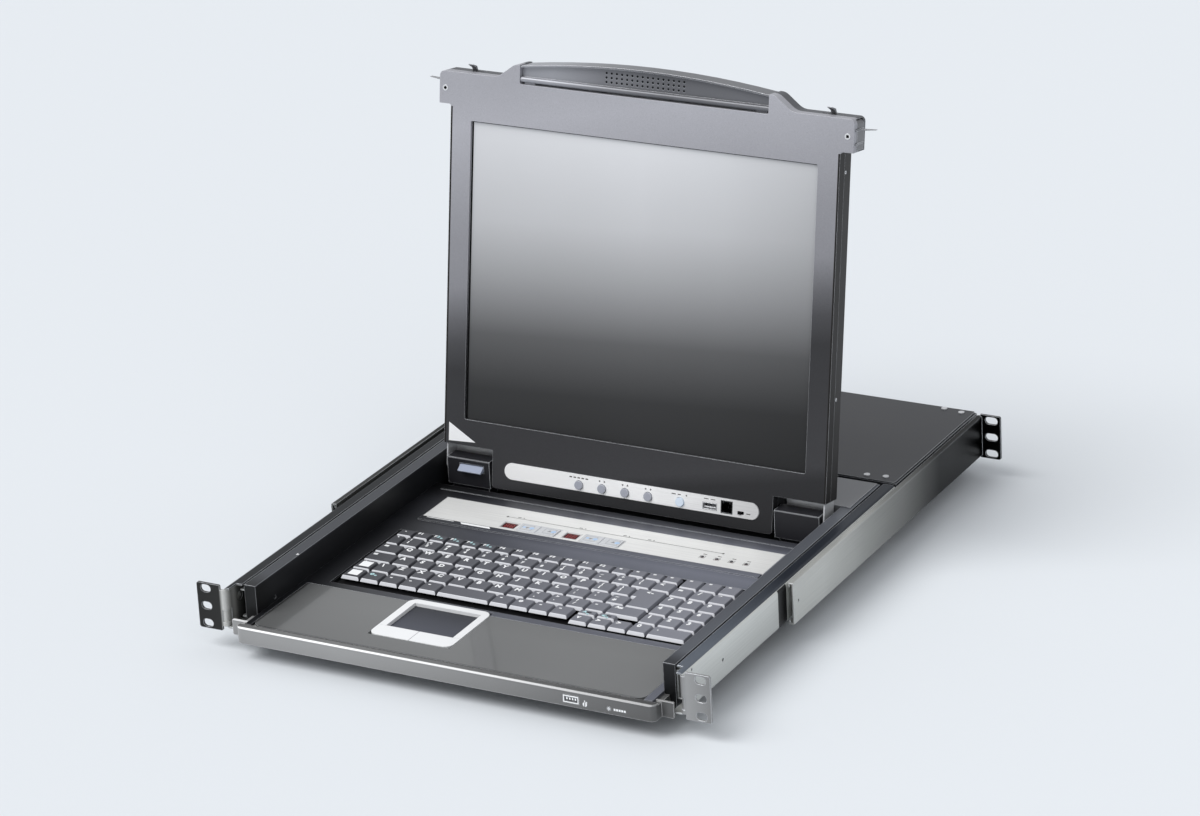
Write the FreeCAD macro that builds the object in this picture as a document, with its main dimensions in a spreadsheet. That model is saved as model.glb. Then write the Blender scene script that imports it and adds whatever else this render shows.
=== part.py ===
import FreeCAD, Part
import Sketcher
import math
import os
import re

# A rack console drawer with a flip-up screen, one rack unit high.
# Origin: centre of the front ear holes. X to the right, Y to the back, Z up, in millimetres.

doc = FreeCAD.newDocument("ConsoleDrawer")
# The driving sizes, each under its own name
sizes = {
    # Rack fixing
    "hole_span": 465.1,
    "hole_rise": 15.875,
    "ear_margin": 8.75,
    "ear_high": 41.6,
    "ear_thick": 2,
    "slot_long": 10,
    "slot_round": 3.5,
    "rear_slot_long": 12,
    # Rails and sliding members
    "rail_inset": 16.05,
    "rail_high": 37,
    "rail_thick": 1.5,
    "rail_flange": 11.5,
    "rail_round": 4,
    "rail_front": 2,
    "rail_long": 573,
    "flange_over": 1,
    "slide_gap": 0.3,
    "slide_long": 361.5,
    "slide_start": 30,
    "lead_cut_long": 11.5,
    "lead_cut_wide": 5.4,
    "slide_web": 1.2,
    "leg_long": 28,
    "leg_thick": 2,
    "bend_wide": 5.5,
    "bend_round": 4,
    "latch_low": -13,
    "latch_high": -2,
    "latch_wide": 4.5,
    "latch_deep": 8,
    "latch_sink": 0.8,
    "leg_hole_at": 21.4,
    "leg_hole_up": 3.9,
    "leg_hole_round": 4,
    # Rear brackets
    "bracket_front": 187,
    "bracket_over": 0.2,
    "bracket_high": 37.7,
    "bracket_thick": 1.5,
    "bracket_lip": 2.4,
    "bracket_depth": 5,
    "guide_long": 120,
    "guide_inset": 15.2,
    "guide_stand": 3.6,
    "guide_head": 1.4,
    # Sliding tray
    "middle_deep": 2.9,
    "member_deep": 5.3,
    "tray_wall": 11,
    "tray_front": 14,
    "tray_back": 401,
    "tray_low": -22,
    "tray_top": 18.5,
    "sheet_thick": 1.5,
    "wall_skin": 1.2,
    # Front edge
    "lip_front": -13,
    "lip_inset": 6,
    "lip_round": 5,
    "step_out": 5,
    "step_top": -8,
    "fascia_skin": 2.5,
    "rim_sunk": 0.5,
    "rim_slant": 1.2,
    # Deck
    "deck_top": -6.8,
    "deck_thick": 2.5,
    "deck_front": -6,
    "block_room": 7.6,
    "seam": 0.3,
    "palm_left": -186,
    "palm_right": 184,
    "palm_back": 84.7,
    "palm_round": 10,
    "ridge_line": 302,
    # Touchpad
    "pad_left": -86,
    "pad_right": -8,
    "pad_front": 17,
    "pad_back": 90,
    "pad_round": 8,
    "pad_top": -6.3,
    "pad_low": -12.6,
    "pad_rim": 7.1,
    "pad_split": 35.5,
    "pad_sink": 3,
    "pad_press": 0.5,
    "pad_button_thick": 2.2,
    # Keyboard
    "keys_left": -165.4,
    "keys_back": 208,
    "key_unit": 18.85,
    "key_rise": 18.35,
    "key_gap": 0.95,
    "key_high": 3,
    "key_top": -4,
    "key_draft": 1.7,
    "key_slope": 2.6,
    "key_press": 2.5,
    "stem_wide": 5,
    "stem_low": -12.3,
    "stem_gap": 0.3,
    "key_plate_top": -10,
    "function_unit": 16.25,
    "function_deep": 13.5,
    "cluster_left": 58.4,
    "pad_keys_left": 113,
    "pad_key_wide": 18.2,
    "pad_key_deep": 18.6,
    "key_bay_left": -169,
    "key_bay_right": 171,
    "key_bay_front": 93.5,
    "key_bay_back": 211,
    # Port selector strip
    "strip_wide": 332,
    "strip_front": 243,
    "strip_back": 288,
    "window_front": 248.7,
    "window_deep": 11,
    "window_one_left": -91,
    "window_two_left": -29.7,
    "window_wide": 13.5,
    "rocker_one_left": -74,
    "rocker_two_left": -11.6,
    "rocker_wide": 37,
    "rocker_front": 247,
    "rocker_deep": 14,
    "rocker_stand": 0.8,
    "rocker_swing_room": 0.4,
    "lamp_row": 257.5,
    "lamp_first": 102.2,
    "lamp_pitch": 13.9,
    "lamp_round": 1.5,
    # Screen head, in its own frame: across, down the depth, and up the face
    "lean": 9.41,
    "hinge_y": 333,
    "hinge_z": 11,
    "hinge_depth": 12,
    "hinge_up": 13.14,
    "head_inset": 3.7,
    "head_thick": 22,
    "head_skin": 1.5,
    "front_skin": 2.5,
    "split_depth": 9.8,
    "head_low": -5.3,
    "foot_margin": 12.9,
    "foot_notch": 29,
    "shoulder_tall": 28.7,
    "brow": 41.6,
    "shoulder_out": 11.7,
    "crown_rim": 5,
    "crown_slope": 17,
    "crown_tall": 12.7,
    "crown_soft": 10,
    "crown_foot_soft": 14,
    "notch_wide": 240,
    "notch_sunk": 4.2,
    "screen_side": 20.3,
    "screen_low": 53,
    "screen_tall": 268.3,
    "glass_margin": 3,
    "glass_thick": 7,
    "driver_depth": 13,
    # Screen controls
    "plate_wide": 250.8,
    "plate_low": 4.9,
    "plate_tall": 15,
    "plate_stand": 0.6,
    "button_round": 3.9,
    "button_up": 10.3,
    "first_inset": 75,
    "button_pitch": 22.8,
    "power_inset": 76.1,
    "button_press": 0.8,
    "button_stand": 1.5,
    "usb_inset": 47.2,
    "screen_usb_up": 10.9,
    "usb_wide": 14,
    "usb_high": 6.4,
    "jack_inset": 30.8,
    "jack_up": 12.4,
    "jack_wide": 11.2,
    "jack_high": 11.4,
    "switch_inset": 17.1,
    "switch_up": 9.3,
    "switch_wide": 6,
    "switch_high": 3,
    "switch_travel": 2,
    # Handle and catches
    "handle_gap": 1.6,
    "handle_drop": 0.6,
    "handle_arch": 8,
    "handle_front": 0.6,
    "handle_back": 20.4,
    "handle_rim": 1.7,
    "handle_dish": 4,
    "roll_round": 2.6,
    "catch_hidden": 9.3,
    "catch_wide": 9.6,
    "catch_inset": 1.3,
    "catch_front": 6.2,
    "catch_back": 19,
    "catch_travel": 8,
    "catch_round": 5.5,
    "fin_front": 3.2,
    "fin_out": 0.6,
    "fin_thick": 1.4,
    "fin_one_drop": 9.4,
    "fin_two_drop": 21,
    "tongue_long": 15.2,
    "tongue_rise": 2.2,
    "tab_step": 19.4,
    "tab_wide": 4.5,
    "tab_depth": 17.5,
    "tab_thick": 1.6,
    "tab_reach": 10.5,
    "tab_tall": 7.1,
    # Hinge blocks
    "foot_gap": 2.2,
    "block_inset": 8.3,
    "block_reach": 13.4,
    "block_top": 17.6,
    "block_low": -8,
    "shaft_round": 4,
    "shaft_gap": 0.3,
    "arm_thick": 2.5,
    "arm_inset": 0.5,
    "leaf_thick": 1.6,
    "flap_wide_out": 13.2,
    "flap_inset": 6.3,
    "flap_round": 2,
    # Covers and rear box
    "cover_reach": 12.6,
    "cover_short": 0.4,
    "cover_inset": 2.5,
    "notch_deep": 9.4,
    "cover_thick": 0.8,
    "rear_gap": 7,
    "rear_over": 6,
    "lid_inset": 3,
    "rear_top": 19.2,
    "inlet_at": 150,
    "inlet_wide": 27,
    "inlet_high": 19.6,
    "rocker_switch_at": 112,
    "cover_screw_round": 1.5,
    "front_usb_at": 121.5,
    "front_usb_up": -15.2,
    "front_lamp_at": 156,
    "front_lamp_up": -17,
}

# Sizes that follow from others, each as a formula
ties = {
    # Across
    "ear_wide": "hole_span + 2 * ear_margin",
    "rail_wide": "hole_span - 2 * rail_inset",
    "tray_wide": "rail_wide - 2 * (rail_thick + leg_thick + 2 * slide_gap + middle_deep"
                 " + slide_web + member_deep)",
    "deck_wide": "tray_wide - 2 * (tray_wall + seam)",
    "lip_wide": "tray_wide - 2 * lip_inset",
    "step_wide": "tray_wide + 2 * step_out",
    "cover_wide": "tray_wide - 2 * cover_inset",
    "rear_wide": "rail_wide - 2 * lid_inset",
    "head_wide": "deck_wide - 2 * head_inset",
    "shoulder_wide": "head_wide + 2 * shoulder_out",
    "screen_wide": "head_wide - 2 * screen_side",
    "crown_wide": "notch_wide + 2 * crown_rim",
    "crown_start": "crown_wide + 2 * crown_slope",
    "foot_wide": "plate_wide + 2 * foot_margin",
    "block_inner": "foot_wide / 2 + foot_gap",
    "block_outer": "deck_wide / 2 - block_inset",
    "arm_outer": "head_wide / 2 - arm_inset",
    "arm_inner": "arm_outer - arm_thick",
    "flap_left": "flap_wide_out - block_outer",
    "flap_right": "-block_inner - flap_inset",
    "catch_inner": "shoulder_wide / 2 - catch_hidden",
    "catch_outer": "catch_inner + catch_wide",
    "tongue_out": "catch_outer + tongue_long",
    "tab_inner": "catch_inner - tab_step",
    "tab_outer": "tab_inner + tab_wide",
    "button_first": "first_inset - plate_wide / 2",
    "power_button_at": "plate_wide / 2 - power_inset",
    "screen_usb_at": "plate_wide / 2 - usb_inset",
    "jack_at": "plate_wide / 2 - jack_inset",
    "switch_at": "plate_wide / 2 - switch_inset",
    # Back to front
    "flange_long": "tray_back + flange_over",
    "rear_front": "tray_back + rear_gap",
    "rear_back": "rail_front + rail_long + rear_over",
    "bracket_back": "rail_front + rail_long + bracket_over",
    "guide_back": "bracket_back - guide_inset",
    "guide_front": "guide_back - guide_long",
    "block_front": "hinge_y - block_reach",
    "deck_back": "block_front - block_room",
    "cover_front": "hinge_y + cover_reach",
    "cover_notch": "cover_front + notch_deep",
    "cover_back": "tray_back - cover_short",
    # Up the screen head
    "screen_high": "screen_low + screen_tall",
    "ear_top": "screen_high + brow",
    "ear_low": "ear_top - shoulder_tall",
    "crown_top": "ear_top + crown_tall",
    "notch_floor": "ear_top - notch_sunk",
    "handle_low": "notch_floor + handle_gap",
    "handle_side": "crown_top - handle_drop",
    "handle_crown": "handle_side + handle_arch",
    "catch_low": "ear_low + catch_inset",
    "catch_high": "ear_top - catch_inset",
    "fin_one": "catch_high - fin_one_drop",
    "fin_two": "catch_high - fin_two_drop",
    "tongue_tip": "fin_one + tongue_rise",
    "tab_top": "ear_top + tab_tall",
    "plate_high": "plate_low + plate_tall",
}

sheet = doc.addObject("Spreadsheet::Sheet", "Sizes")
for row, (word, value) in enumerate(sizes.items()):
    sheet.set("A%d" % (row + 1), str(value))
    sheet.setAlias("A%d" % (row + 1), word)
nodes = {}
doc.recompute()


def words(formula):
    """Points every size word of a formula at the sheet and opens the words that follow from others."""
    def point(match):
        word = match.group(0)
        if word in ties:
            return "(" + words(ties[word]) + ")"
        return "Sizes." + word if word in sizes else word
    return re.sub(r"[a-z][a-z_]+", point, str(formula))


def bind(item, prop, formula):
    item.setExpression(prop, words(formula))


def spot(item, x="0", y="0", z="0"):
    bind(item, "Placement.Base.x", x)
    bind(item, "Placement.Base.y", y)
    bind(item, "Placement.Base.z", z)


def box(x0, x1, y0, y1, z0, z1):
    """A block between two corners."""
    item = doc.addObject("Part::Box", "block")
    bind(item, "Length", "(%s) - (%s)" % (x1, x0))
    bind(item, "Width", "(%s) - (%s)" % (y1, y0))
    bind(item, "Height", "(%s) - (%s)" % (z1, z0))
    spot(item, x0, y0, z0)
    return item


turns = {
    "x": FreeCAD.Rotation(FreeCAD.Vector(0, 1, 0), 90),
    "y": FreeCAD.Rotation(FreeCAD.Vector(1, 0, 0), -90),
    "z": FreeCAD.Rotation(),
}


def rod(way, x, y, z, radius, length):
    """A round bar that starts at a point and runs along one axis."""
    item = doc.addObject("Part::Cylinder", "rod")
    item.Placement = FreeCAD.Placement(FreeCAD.Vector(), turns[way])
    bind(item, "Radius", radius)
    bind(item, "Height", length)
    spot(item, x, y, z)
    return item


def slot(way, x, y, z, radius, long, length):
    """A round-ended bar, long in X, that runs along Y or Z from its start."""
    reach = "((%s) / 2 - (%s))" % (long, radius)
    left = rod(way, "(%s) - %s" % (x, reach), y, z, radius, length)
    right = rod(way, "(%s) + %s" % (x, reach), y, z, radius, length)
    if way == "y":
        low = "(%s) - (%s)" % (z, radius)
        high = "(%s) + (%s)" % (z, radius)
        middle = box(
            "(%s) - %s" % (x, reach), "(%s) + %s" % (x, reach), y, "(%s) + (%s)" % (y, length), low, high)
    else:
        low = "(%s) - (%s)" % (y, radius)
        high = "(%s) + (%s)" % (y, radius)
        middle = box(
            "(%s) - %s" % (x, reach), "(%s) + %s" % (x, reach), low, high, z, "(%s) + (%s)" % (z, length))
    return fuse(left, right, middle)


def fuse(*items):
    item = doc.addObject("Part::MultiFuse", "joined")
    item.Shapes = list(items)
    return item


def cut(base, *tools):
    item = doc.addObject("Part::Cut", "trimmed")
    item.Base = base
    item.Tool = tools[0] if len(tools) == 1 else fuse(*tools)
    return item


def group(*items):
    item = doc.addObject("Part::Compound", "group")
    item.Links = list(items)
    return item


def mirror(item):
    """The same piece on the other side of the middle plane."""
    other = doc.addObject("Part::Mirroring", "mirrored")
    other.Source = item
    other.Base = FreeCAD.Vector(0, 0, 0)
    other.Normal = FreeCAD.Vector(1, 0, 0)
    return other


planes = {"x": "YZ_Plane", "y": "XZ_Plane", "z": "XY_Plane"}


def extrusion(way, corners, start, end, rounds=()):
    """A sketched outline, padded along one axis; rounds pairs a radius with numbered corners."""
    body = doc.addObject("PartDesign::Body", "body")
    sketch = body.newObject("Sketcher::SketchObject", "outline")
    plane = [f for f in body.Origin.OriginFeatures if f.Role == planes[way]][0]
    sketch.AttachmentSupport = [(plane, "")]
    sketch.MapMode = "FlatFace"
    count = len(corners)
    ring = []
    for i in range(count):
        angle = 2 * math.pi * i / count
        ring.append(FreeCAD.Vector(100 * math.cos(angle), 100 * math.sin(angle), 0))
    for i in range(count):
        sketch.addGeometry(Part.LineSegment(ring[i], ring[(i + 1) % count]), False)
    for i in range(count):
        sketch.addConstraint(Sketcher.Constraint("Coincident", i, 2, (i + 1) % count, 1))
    for i, (across, up) in enumerate(corners):
        first = sketch.addConstraint(Sketcher.Constraint("DistanceX", i, 1, ring[i].x))
        second = sketch.addConstraint(Sketcher.Constraint("DistanceY", i, 1, ring[i].y))
        bind(sketch, "Constraints[%d]" % first, across)
        bind(sketch, "Constraints[%d]" % second, up)
    pad = body.newObject("PartDesign::Pad", "pad")
    pad.Profile = sketch
    bind(pad, "Length", "(%s) - (%s)" % (end, start))
    if way == "y":
        bind(sketch, "AttachmentOffset.Base.z", "-(%s)" % start)
        pad.Reversed = True
    else:
        bind(sketch, "AttachmentOffset.Base.z", start)
    body.Tip = pad
    doc.recompute()
    for radius, chosen in rounds:
        wanted = [sketch.getPoint(i, 1) for i in chosen]
        tip = body.Tip
        names = []
        for n, edge in enumerate(tip.Shape.Edges):
            ends = [v.Point for v in edge.Vertexes]
            if len(ends) < 2:
                continue
            flat = [flatten(way, p) for p in ends]
            if (flat[0] - flat[1]).Length > 0.001:
                continue
            if any((flat[0] - w).Length < 0.01 for w in wanted):
                names.append("Edge%d" % (n + 1))
        soft = body.newObject("PartDesign::Fillet", "round")
        soft.Base = (tip, names)
        bind(soft, "Radius", radius)
        body.Tip = soft
        doc.recompute()
    return body


def flatten(way, point):
    if way == "x":
        return FreeCAD.Vector(point.y, point.z, 0)
    if way == "y":
        return FreeCAD.Vector(point.x, point.z, 0)
    return FreeCAD.Vector(point.x, point.y, 0)


def plate(way, a0, a1, b0, b1, start, end, radius=None, chosen=(0, 1, 2, 3)):
    """A flat plate with some of its corners rounded: low left, low right, high right, high left."""
    corners = [(a0, b0), (a1, b0), (a1, b1), (a0, b1)]
    rounds = [(radius, chosen)] if radius else ()
    return extrusion(way, corners, start, end, rounds)


def keep(node, item):
    item.Label = node
    nodes[node] = item
    return item


def on_head(item):
    """Leans a piece of the screen head back about the hinge line."""
    if item.TypeId == "Part::Box":
        item = group(item)
    item.Placement = FreeCAD.Placement(FreeCAD.Vector(), FreeCAD.Rotation(FreeCAD.Vector(1, 0, 0), -9))
    bind(item, "Placement.Rotation.Angle", "-lean")
    bind(item, "Placement.Base.y", "hinge_y - hinge_up * sin(lean) - hinge_depth * cos(lean)")
    bind(item, "Placement.Base.z", "hinge_z - hinge_up * cos(lean) + hinge_depth * sin(lean)")
    return item


# Front ears: a slotted plate with a leg that runs back inside the rail
ear_in = "(rail_wide / 2 - rail_thick - leg_thick)"
ear_out = "ear_wide / 2"
ear_top_z = "ear_high / 2"
ear_plate_in = "(%s + bend_wide)" % ear_in
ear_outline = [
    (ear_plate_in, ear_top_z),
    (ear_out, ear_top_z),
    (ear_out, "-" + ear_top_z),
    (ear_plate_in, "-" + ear_top_z),
]
ear_plate = extrusion("y", ear_outline, "0", "ear_thick", [("2", [1, 2]), ("1.4", [0, 3])])
ear_slots = []
for rise in ("-hole_rise", "0", "hole_rise"):
    ear_slots.append(slot("y", "hole_span / 2", "-1", rise, "slot_round", "slot_long", "ear_thick + 2"))
leg_in = "rail_wide / 2 - rail_thick - leg_thick"
leg_out = "rail_wide / 2 - rail_thick"
leg_top = "rail_high / 2 - rail_thick - slide_gap"
leg_outline = [
    (leg_in, "0"),
    (ear_plate_in + " + 1", "0"),
    (ear_plate_in + " + 1", "ear_thick"),
    (leg_out, "ear_thick"),
    (leg_out, "leg_long"),
    (leg_in, "leg_long"),
]
ear_leg = extrusion("z", leg_outline, "-(%s)" % leg_top, leg_top, [("bend_round", [0])])
# The latch plate stands back a little in the lower part of the bend
latch_gap = box("%s - 1" % leg_in, ear_in + " + latch_wide", "-1", "latch_deep", "latch_low", "latch_high")
latch_outline = [
    (leg_in + " + latch_sink", "latch_sink"),
    (ear_in + " + latch_wide + 1", "latch_sink"),
    (ear_in + " + latch_wide + 1", "ear_thick"),
    (leg_out, "ear_thick"),
    (leg_out, "latch_deep + 1"),
    (leg_in + " + latch_sink", "latch_deep + 1"),
]
latch_plate = extrusion(
    "z", latch_outline, "latch_low - 0.5", "latch_high + 0.5", [("bend_round - latch_sink", [0])])
leg_hole = rod("x", "%s - 1" % leg_in, "leg_hole_at", "leg_hole_up", "leg_hole_round", "leg_thick + 2")
ear_sheet = fuse(ear_plate, ear_leg)
ear_right = cut(fuse(cut(ear_sheet, latch_gap), latch_plate), *(ear_slots + [leg_hole]))
keep("front_ear_right", ear_right)
keep("front_ear_left", mirror(ear_right))

# Outer rails: a C section whose web runs on beside the rear box
web_out = "rail_wide / 2"
web_in = "(rail_wide / 2 - rail_thick)"
flange_in = "(rail_wide / 2 - rail_flange)"
half_high = "rail_high / 2"
half_inner = "(rail_high / 2 - rail_thick)"
rail_outline = [
    (flange_in, half_high),
    (web_out, half_high),
    (web_out, "-" + half_high),
    (flange_in, "-" + half_high),
    (flange_in, "-" + half_inner),
    (web_in, "-" + half_inner),
    (web_in, half_inner),
    (flange_in, half_inner),
]
rail_c = extrusion(
    "y", rail_outline, "rail_front", "rail_front + flange_long", [("rail_round", [1, 2]), ("0.3", [5, 6])])
web_half = "(rail_high / 2 - rail_round)"
rail_tail = box(web_in, web_out, "rail_front + 5", "rail_front + rail_long", "-" + web_half, web_half)
web_holes = []
for along, up, wide in (("70.7", "0", "1.6"), ("16.9", "15", "1.2"), ("250", "0", "1.6")):
    web_holes.append(rod("x", "%s - 1" % web_in, along, up, wide, "rail_thick + 2"))
lead_cut = box(
    "%s - 1" % flange_in, "%s + lead_cut_wide" % flange_in, "rail_front - 1", "rail_front + lead_cut_long",
    "0", "20")
rail_right = cut(fuse(rail_c, rail_tail), lead_cut, *web_holes)
keep("rail_right", rail_right)
keep("rail_left", mirror(rail_right))

# Guides on the rails' outside that the rear brackets run on
guide_neck = "(rail_wide / 2 + guide_stand)"
guide_face = "(rail_wide / 2 + guide_stand + guide_head)"
bracket_in = "(%s + slide_gap)" % guide_face
bracket_out = "(%s + bracket_thick)" % bracket_in
bracket_half = "bracket_high / 2"
bracket_inner = "(bracket_high / 2 - bracket_thick)"
lip_end = "(bracket_high / 2 - bracket_thick - bracket_lip)"
lip_out = "(rail_wide / 2 + guide_stand - slide_gap)"
lip_in = "(%s - bracket_thick)" % lip_out
guide_stem_half = "(%s - slide_gap)" % lip_end
guide_head_half = "(%s - slide_gap)" % bracket_inner
guide_stem = box(web_out, guide_neck, "guide_front", "guide_back", "-" + web_half, web_half)
guide_cap = box(guide_neck, guide_face, "guide_front", "guide_back", "-" + guide_head_half, guide_head_half)
guide_right = fuse(guide_stem, guide_cap)
keep("bracket_guides", group(guide_right, mirror(guide_right)))

# Rear brackets: a lipped channel with a slotted ear at its back end
bracket_outline = [
    (bracket_out, bracket_half),
    (bracket_out, "-" + bracket_half),
    (lip_in, "-" + bracket_half),
    (lip_in, "-" + lip_end),
    (lip_out, "-" + lip_end),
    (lip_out, "-" + bracket_inner),
    (bracket_in, "-" + bracket_inner),
    (bracket_in, bracket_inner),
    (lip_out, bracket_inner),
    (lip_out, lip_end),
    (lip_in, lip_end),
    (lip_in, bracket_half),
]
bracket_channel = extrusion("y", bracket_outline, "bracket_front", "bracket_back", [("1", [0, 1])])
bracket_ear = plate(
    "y", bracket_in, "ear_wide / 2", "-" + ear_top_z, ear_top_z,
    "bracket_back - ear_thick", "bracket_back", "2", (1, 2))
rear_slots = []
for rise in ("-hole_rise", "0", "hole_rise"):
    start = "bracket_back - ear_thick - 1"
    rear_slots.append(slot(
        "y", "hole_span / 2", start, rise, "slot_round", "rear_slot_long", "ear_thick + 2"))
bracket_dot = rod("x", "%s - 1" % bracket_in, "bracket_front + 9", "0", "1.4", "bracket_thick + 2")
bracket_right = cut(fuse(bracket_channel, bracket_ear), *(rear_slots + [bracket_dot]))
keep("rear_bracket_right", bracket_right)
keep("rear_bracket_left", mirror(bracket_right))

# Middle slide members, one in each rail
middle_half = "(rail_high / 2 - rail_thick - slide_gap)"
middle_tip = "(rail_wide / 2 - rail_thick - leg_thick - slide_gap)"
middle_web_out = "(%s - middle_deep)" % middle_tip
middle_web_in = "(%s - slide_web)" % middle_web_out
inner_lip_end = "(%s - 2.6)" % middle_web_in
inner_lip_low = "(%s - 3.7)" % middle_half
middle_outline = [
    (middle_web_in, middle_half),
    (middle_tip, middle_half),
    (middle_tip, "%s - slide_web" % middle_half),
    (middle_web_out, "%s - slide_web" % middle_half),
    (middle_web_out, "slide_web - %s" % middle_half),
    (middle_tip, "slide_web - %s" % middle_half),
    (middle_tip, "-" + middle_half),
    (middle_web_in, "-" + middle_half),
    (middle_web_in, "-%s - slide_web" % inner_lip_low),
    (inner_lip_end, "-%s - slide_web" % inner_lip_low),
    (inner_lip_end, "-" + inner_lip_low),
    (middle_web_in, "-" + inner_lip_low),
    (middle_web_in, inner_lip_low),
    (inner_lip_end, inner_lip_low),
    (inner_lip_end, "%s + slide_web" % inner_lip_low),
    (middle_web_in, "%s + slide_web" % inner_lip_low),
]
middle_bar = extrusion("y", middle_outline, "slide_start", "slide_start + slide_long")
middle_right = cut(
    middle_bar,
    rod("x", "%s - 1" % middle_web_in, "60", "0", "3", "slide_web + 2"),
    rod("x", "%s - 1" % middle_web_in, "330", "0", "3", "slide_web + 2"))
keep("slide_middle", group(middle_right, mirror(middle_right)))

# Inner slide members, on the tray's sides
tray_half = "tray_wide / 2"
member_half = "(%s - slide_gap)" % inner_lip_low
member_tip = "(%s - slide_gap)" % middle_web_in
member_outline = [
    (tray_half, member_half),
    (member_tip, member_half),
    (member_tip, "%s - slide_web" % member_half),
    ("%s + slide_web" % tray_half, "%s - slide_web" % member_half),
    ("%s + slide_web" % tray_half, "slide_web - %s" % member_half),
    (member_tip, "slide_web - %s" % member_half),
    (member_tip, "-" + member_half),
    (tray_half, "-" + member_half),
]
member_right = extrusion("y", member_outline, "tray_front + 2", "tray_back - 6")
keep("slide_inner", group(member_right, mirror(member_right)))

# Tray: a floor, hollow side walls and a back wall
wall_in = "(tray_wide / 2 - tray_wall)"
floor_top = "(tray_low + sheet_thick)"
tray_floor = box("-" + tray_half, tray_half, "tray_front", "tray_back", "tray_low", floor_top)
tray_walls = []
for side in ("", "-"):
    near = wall_in if side == "" else "-" + tray_half
    far = tray_half if side == "" else "-" + wall_in
    solid = box(near, far, "tray_front", "tray_back", "tray_low", "tray_top")
    hollow = box(
        "%s + wall_skin" % near, "%s - wall_skin" % far, "tray_front + wall_skin", "tray_back - wall_skin",
        floor_top, "tray_top - wall_skin")
    tray_walls.append(cut(solid, hollow))
tray_rear = box("-" + wall_in, wall_in, "tray_back - sheet_thick", "tray_back", "tray_low", "tray_top - 2")
tray_shell = fuse(tray_floor, tray_rear, *tray_walls)
screw_hole = rod("x", "-%s - 3" % wall_in, "42", "-3", "1.6", "4")
cable_gap = box("-60", "60", "tray_back - 4", "tray_back + 1", "-12", "2")
keep("tray", cut(tray_shell, screw_hole, cable_gap))

# Front edge with its hollow, socket opening and lamp hole
lip_top = "(deck_top - deck_thick)"
lip_shell = plate(
    "z", "-lip_wide / 2", "lip_wide / 2", "lip_front", "tray_front", "tray_low", lip_top, "lip_round", (0, 1))
# A rim in front of the deck, nearly level with it, its front top edge cut at a slant
rim_back = "(deck_front - seam)"
rim_top = "(deck_top - rim_sunk)"
lip_rim = plate(
    "z", "-lip_wide / 2", "lip_wide / 2", "lip_front", rim_back, "%s - 0.5" % lip_top, rim_top,
    "lip_round", (0, 1))
rim_edge = [
    ("lip_front - 1", "%s - rim_slant" % rim_top),
    ("lip_front", "%s - rim_slant" % rim_top),
    ("lip_front + rim_slant", rim_top),
    ("lip_front + rim_slant", "%s + 1" % rim_top),
    ("lip_front - 1", "%s + 1" % rim_top),
]
rim_bevel = extrusion("x", rim_edge, "-lip_wide / 2 - 1", "lip_wide / 2 + 1")
lip_hollow = box(
    "-lip_wide / 2 + 9", "lip_wide / 2 - 9", "lip_front + fascia_skin", "tray_front + 1",
    "tray_low + fascia_skin", "%s - fascia_skin" % lip_top)
step_plate = plate(
    "y", "-step_wide / 2", "step_wide / 2", "tray_low", "step_top", "-0.5", "1.5", "1", (0, 1, 2, 3))
step_keep = box("-deck_wide / 2 - seam", "deck_wide / 2 + seam", "-2", "3", lip_top, "step_top + 1")
usb_hole = box(
    "front_usb_at - usb_wide / 2 - seam", "front_usb_at + usb_wide / 2 + seam", "lip_front - 1",
    "lip_front + fascia_skin + 1", "front_usb_up - usb_high / 2 - seam", "front_usb_up + usb_high / 2 + seam")
lamp_hole = rod("y", "front_lamp_at", "lip_front - 1", "front_lamp_up", "1.8", "fascia_skin + 2")
front_shell = fuse(lip_shell, cut(lip_rim, rim_bevel), cut(step_plate, step_keep))
keep("front_fascia", cut(front_shell, lip_hollow, usb_hole, lamp_hole))


def usb_shell(x, z, start, deep, up):
    """A flat socket shell with its tongue, its mouth facing the front."""
    shell = box(
        "%s - usb_wide / 2" % x, "%s + usb_wide / 2" % x, start, "%s + %s" % (start, deep),
        "%s - usb_high / 2" % z, "%s + usb_high / 2" % z)
    mouth = box(
        "%s - usb_wide / 2 + 0.7" % x, "%s + usb_wide / 2 - 0.7" % x, "%s - 1" % start,
        "%s + %s - 2" % (start, deep),
        "%s - usb_high / 2 + 0.7" % z, "%s + usb_high / 2 - 0.7" % z)
    tongue = box(
        "%s - 5.4" % x, "%s + 5.4" % x, "%s + 1" % start, "%s + %s - 1" % (start, deep),
        "%s + %s" % (z, up), "%s + %s + 1.1" % (z, up))
    return fuse(cut(shell, mouth), tongue)


front_lens = rod("y", "front_lamp_at", "lip_front - 0.3", "front_lamp_up", "1.5", "4.8")
front_usb = usb_shell("front_usb_at", "front_usb_up", "lip_front - 0.3", "16", "1.1")
keep("front_ports", group(front_usb, front_lens))

# Deck with the openings for palm panel, keyboard, touchpad and strip
deck_low = "(deck_top - deck_thick)"
deck_sheet = box("-deck_wide / 2", "deck_wide / 2", "deck_front", "deck_back", deck_low, "deck_top")
deck_skirt = box("-deck_wide / 2", "deck_wide / 2", "deck_back - 1.5", "deck_back", floor_top, "deck_top")
deck_ribs = []
for side in ("-1", "1"):
    rib = box(
        "%s * 187 - 1.5" % side, "%s * 187 + 1.5" % side, "tray_front + 4", "deck_back", floor_top, deck_low)
    deck_ribs.append(rib)
ridge = box("-181", "181", "ridge_line - 0.7", "ridge_line + 0.7", "deck_top - 0.5", "deck_top + 0.6")
strip_step = box(
    "-strip_wide / 2", "strip_wide / 2", "strip_front - 8", "strip_front - 0.5", "deck_top - 0.5",
    "deck_top + 1.2")
palm_gap = box(
    "palm_left - seam", "palm_right + seam", "deck_front - 1", "palm_back + seam", "%s - 1" % deck_low,
    "deck_top + 1")
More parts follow.
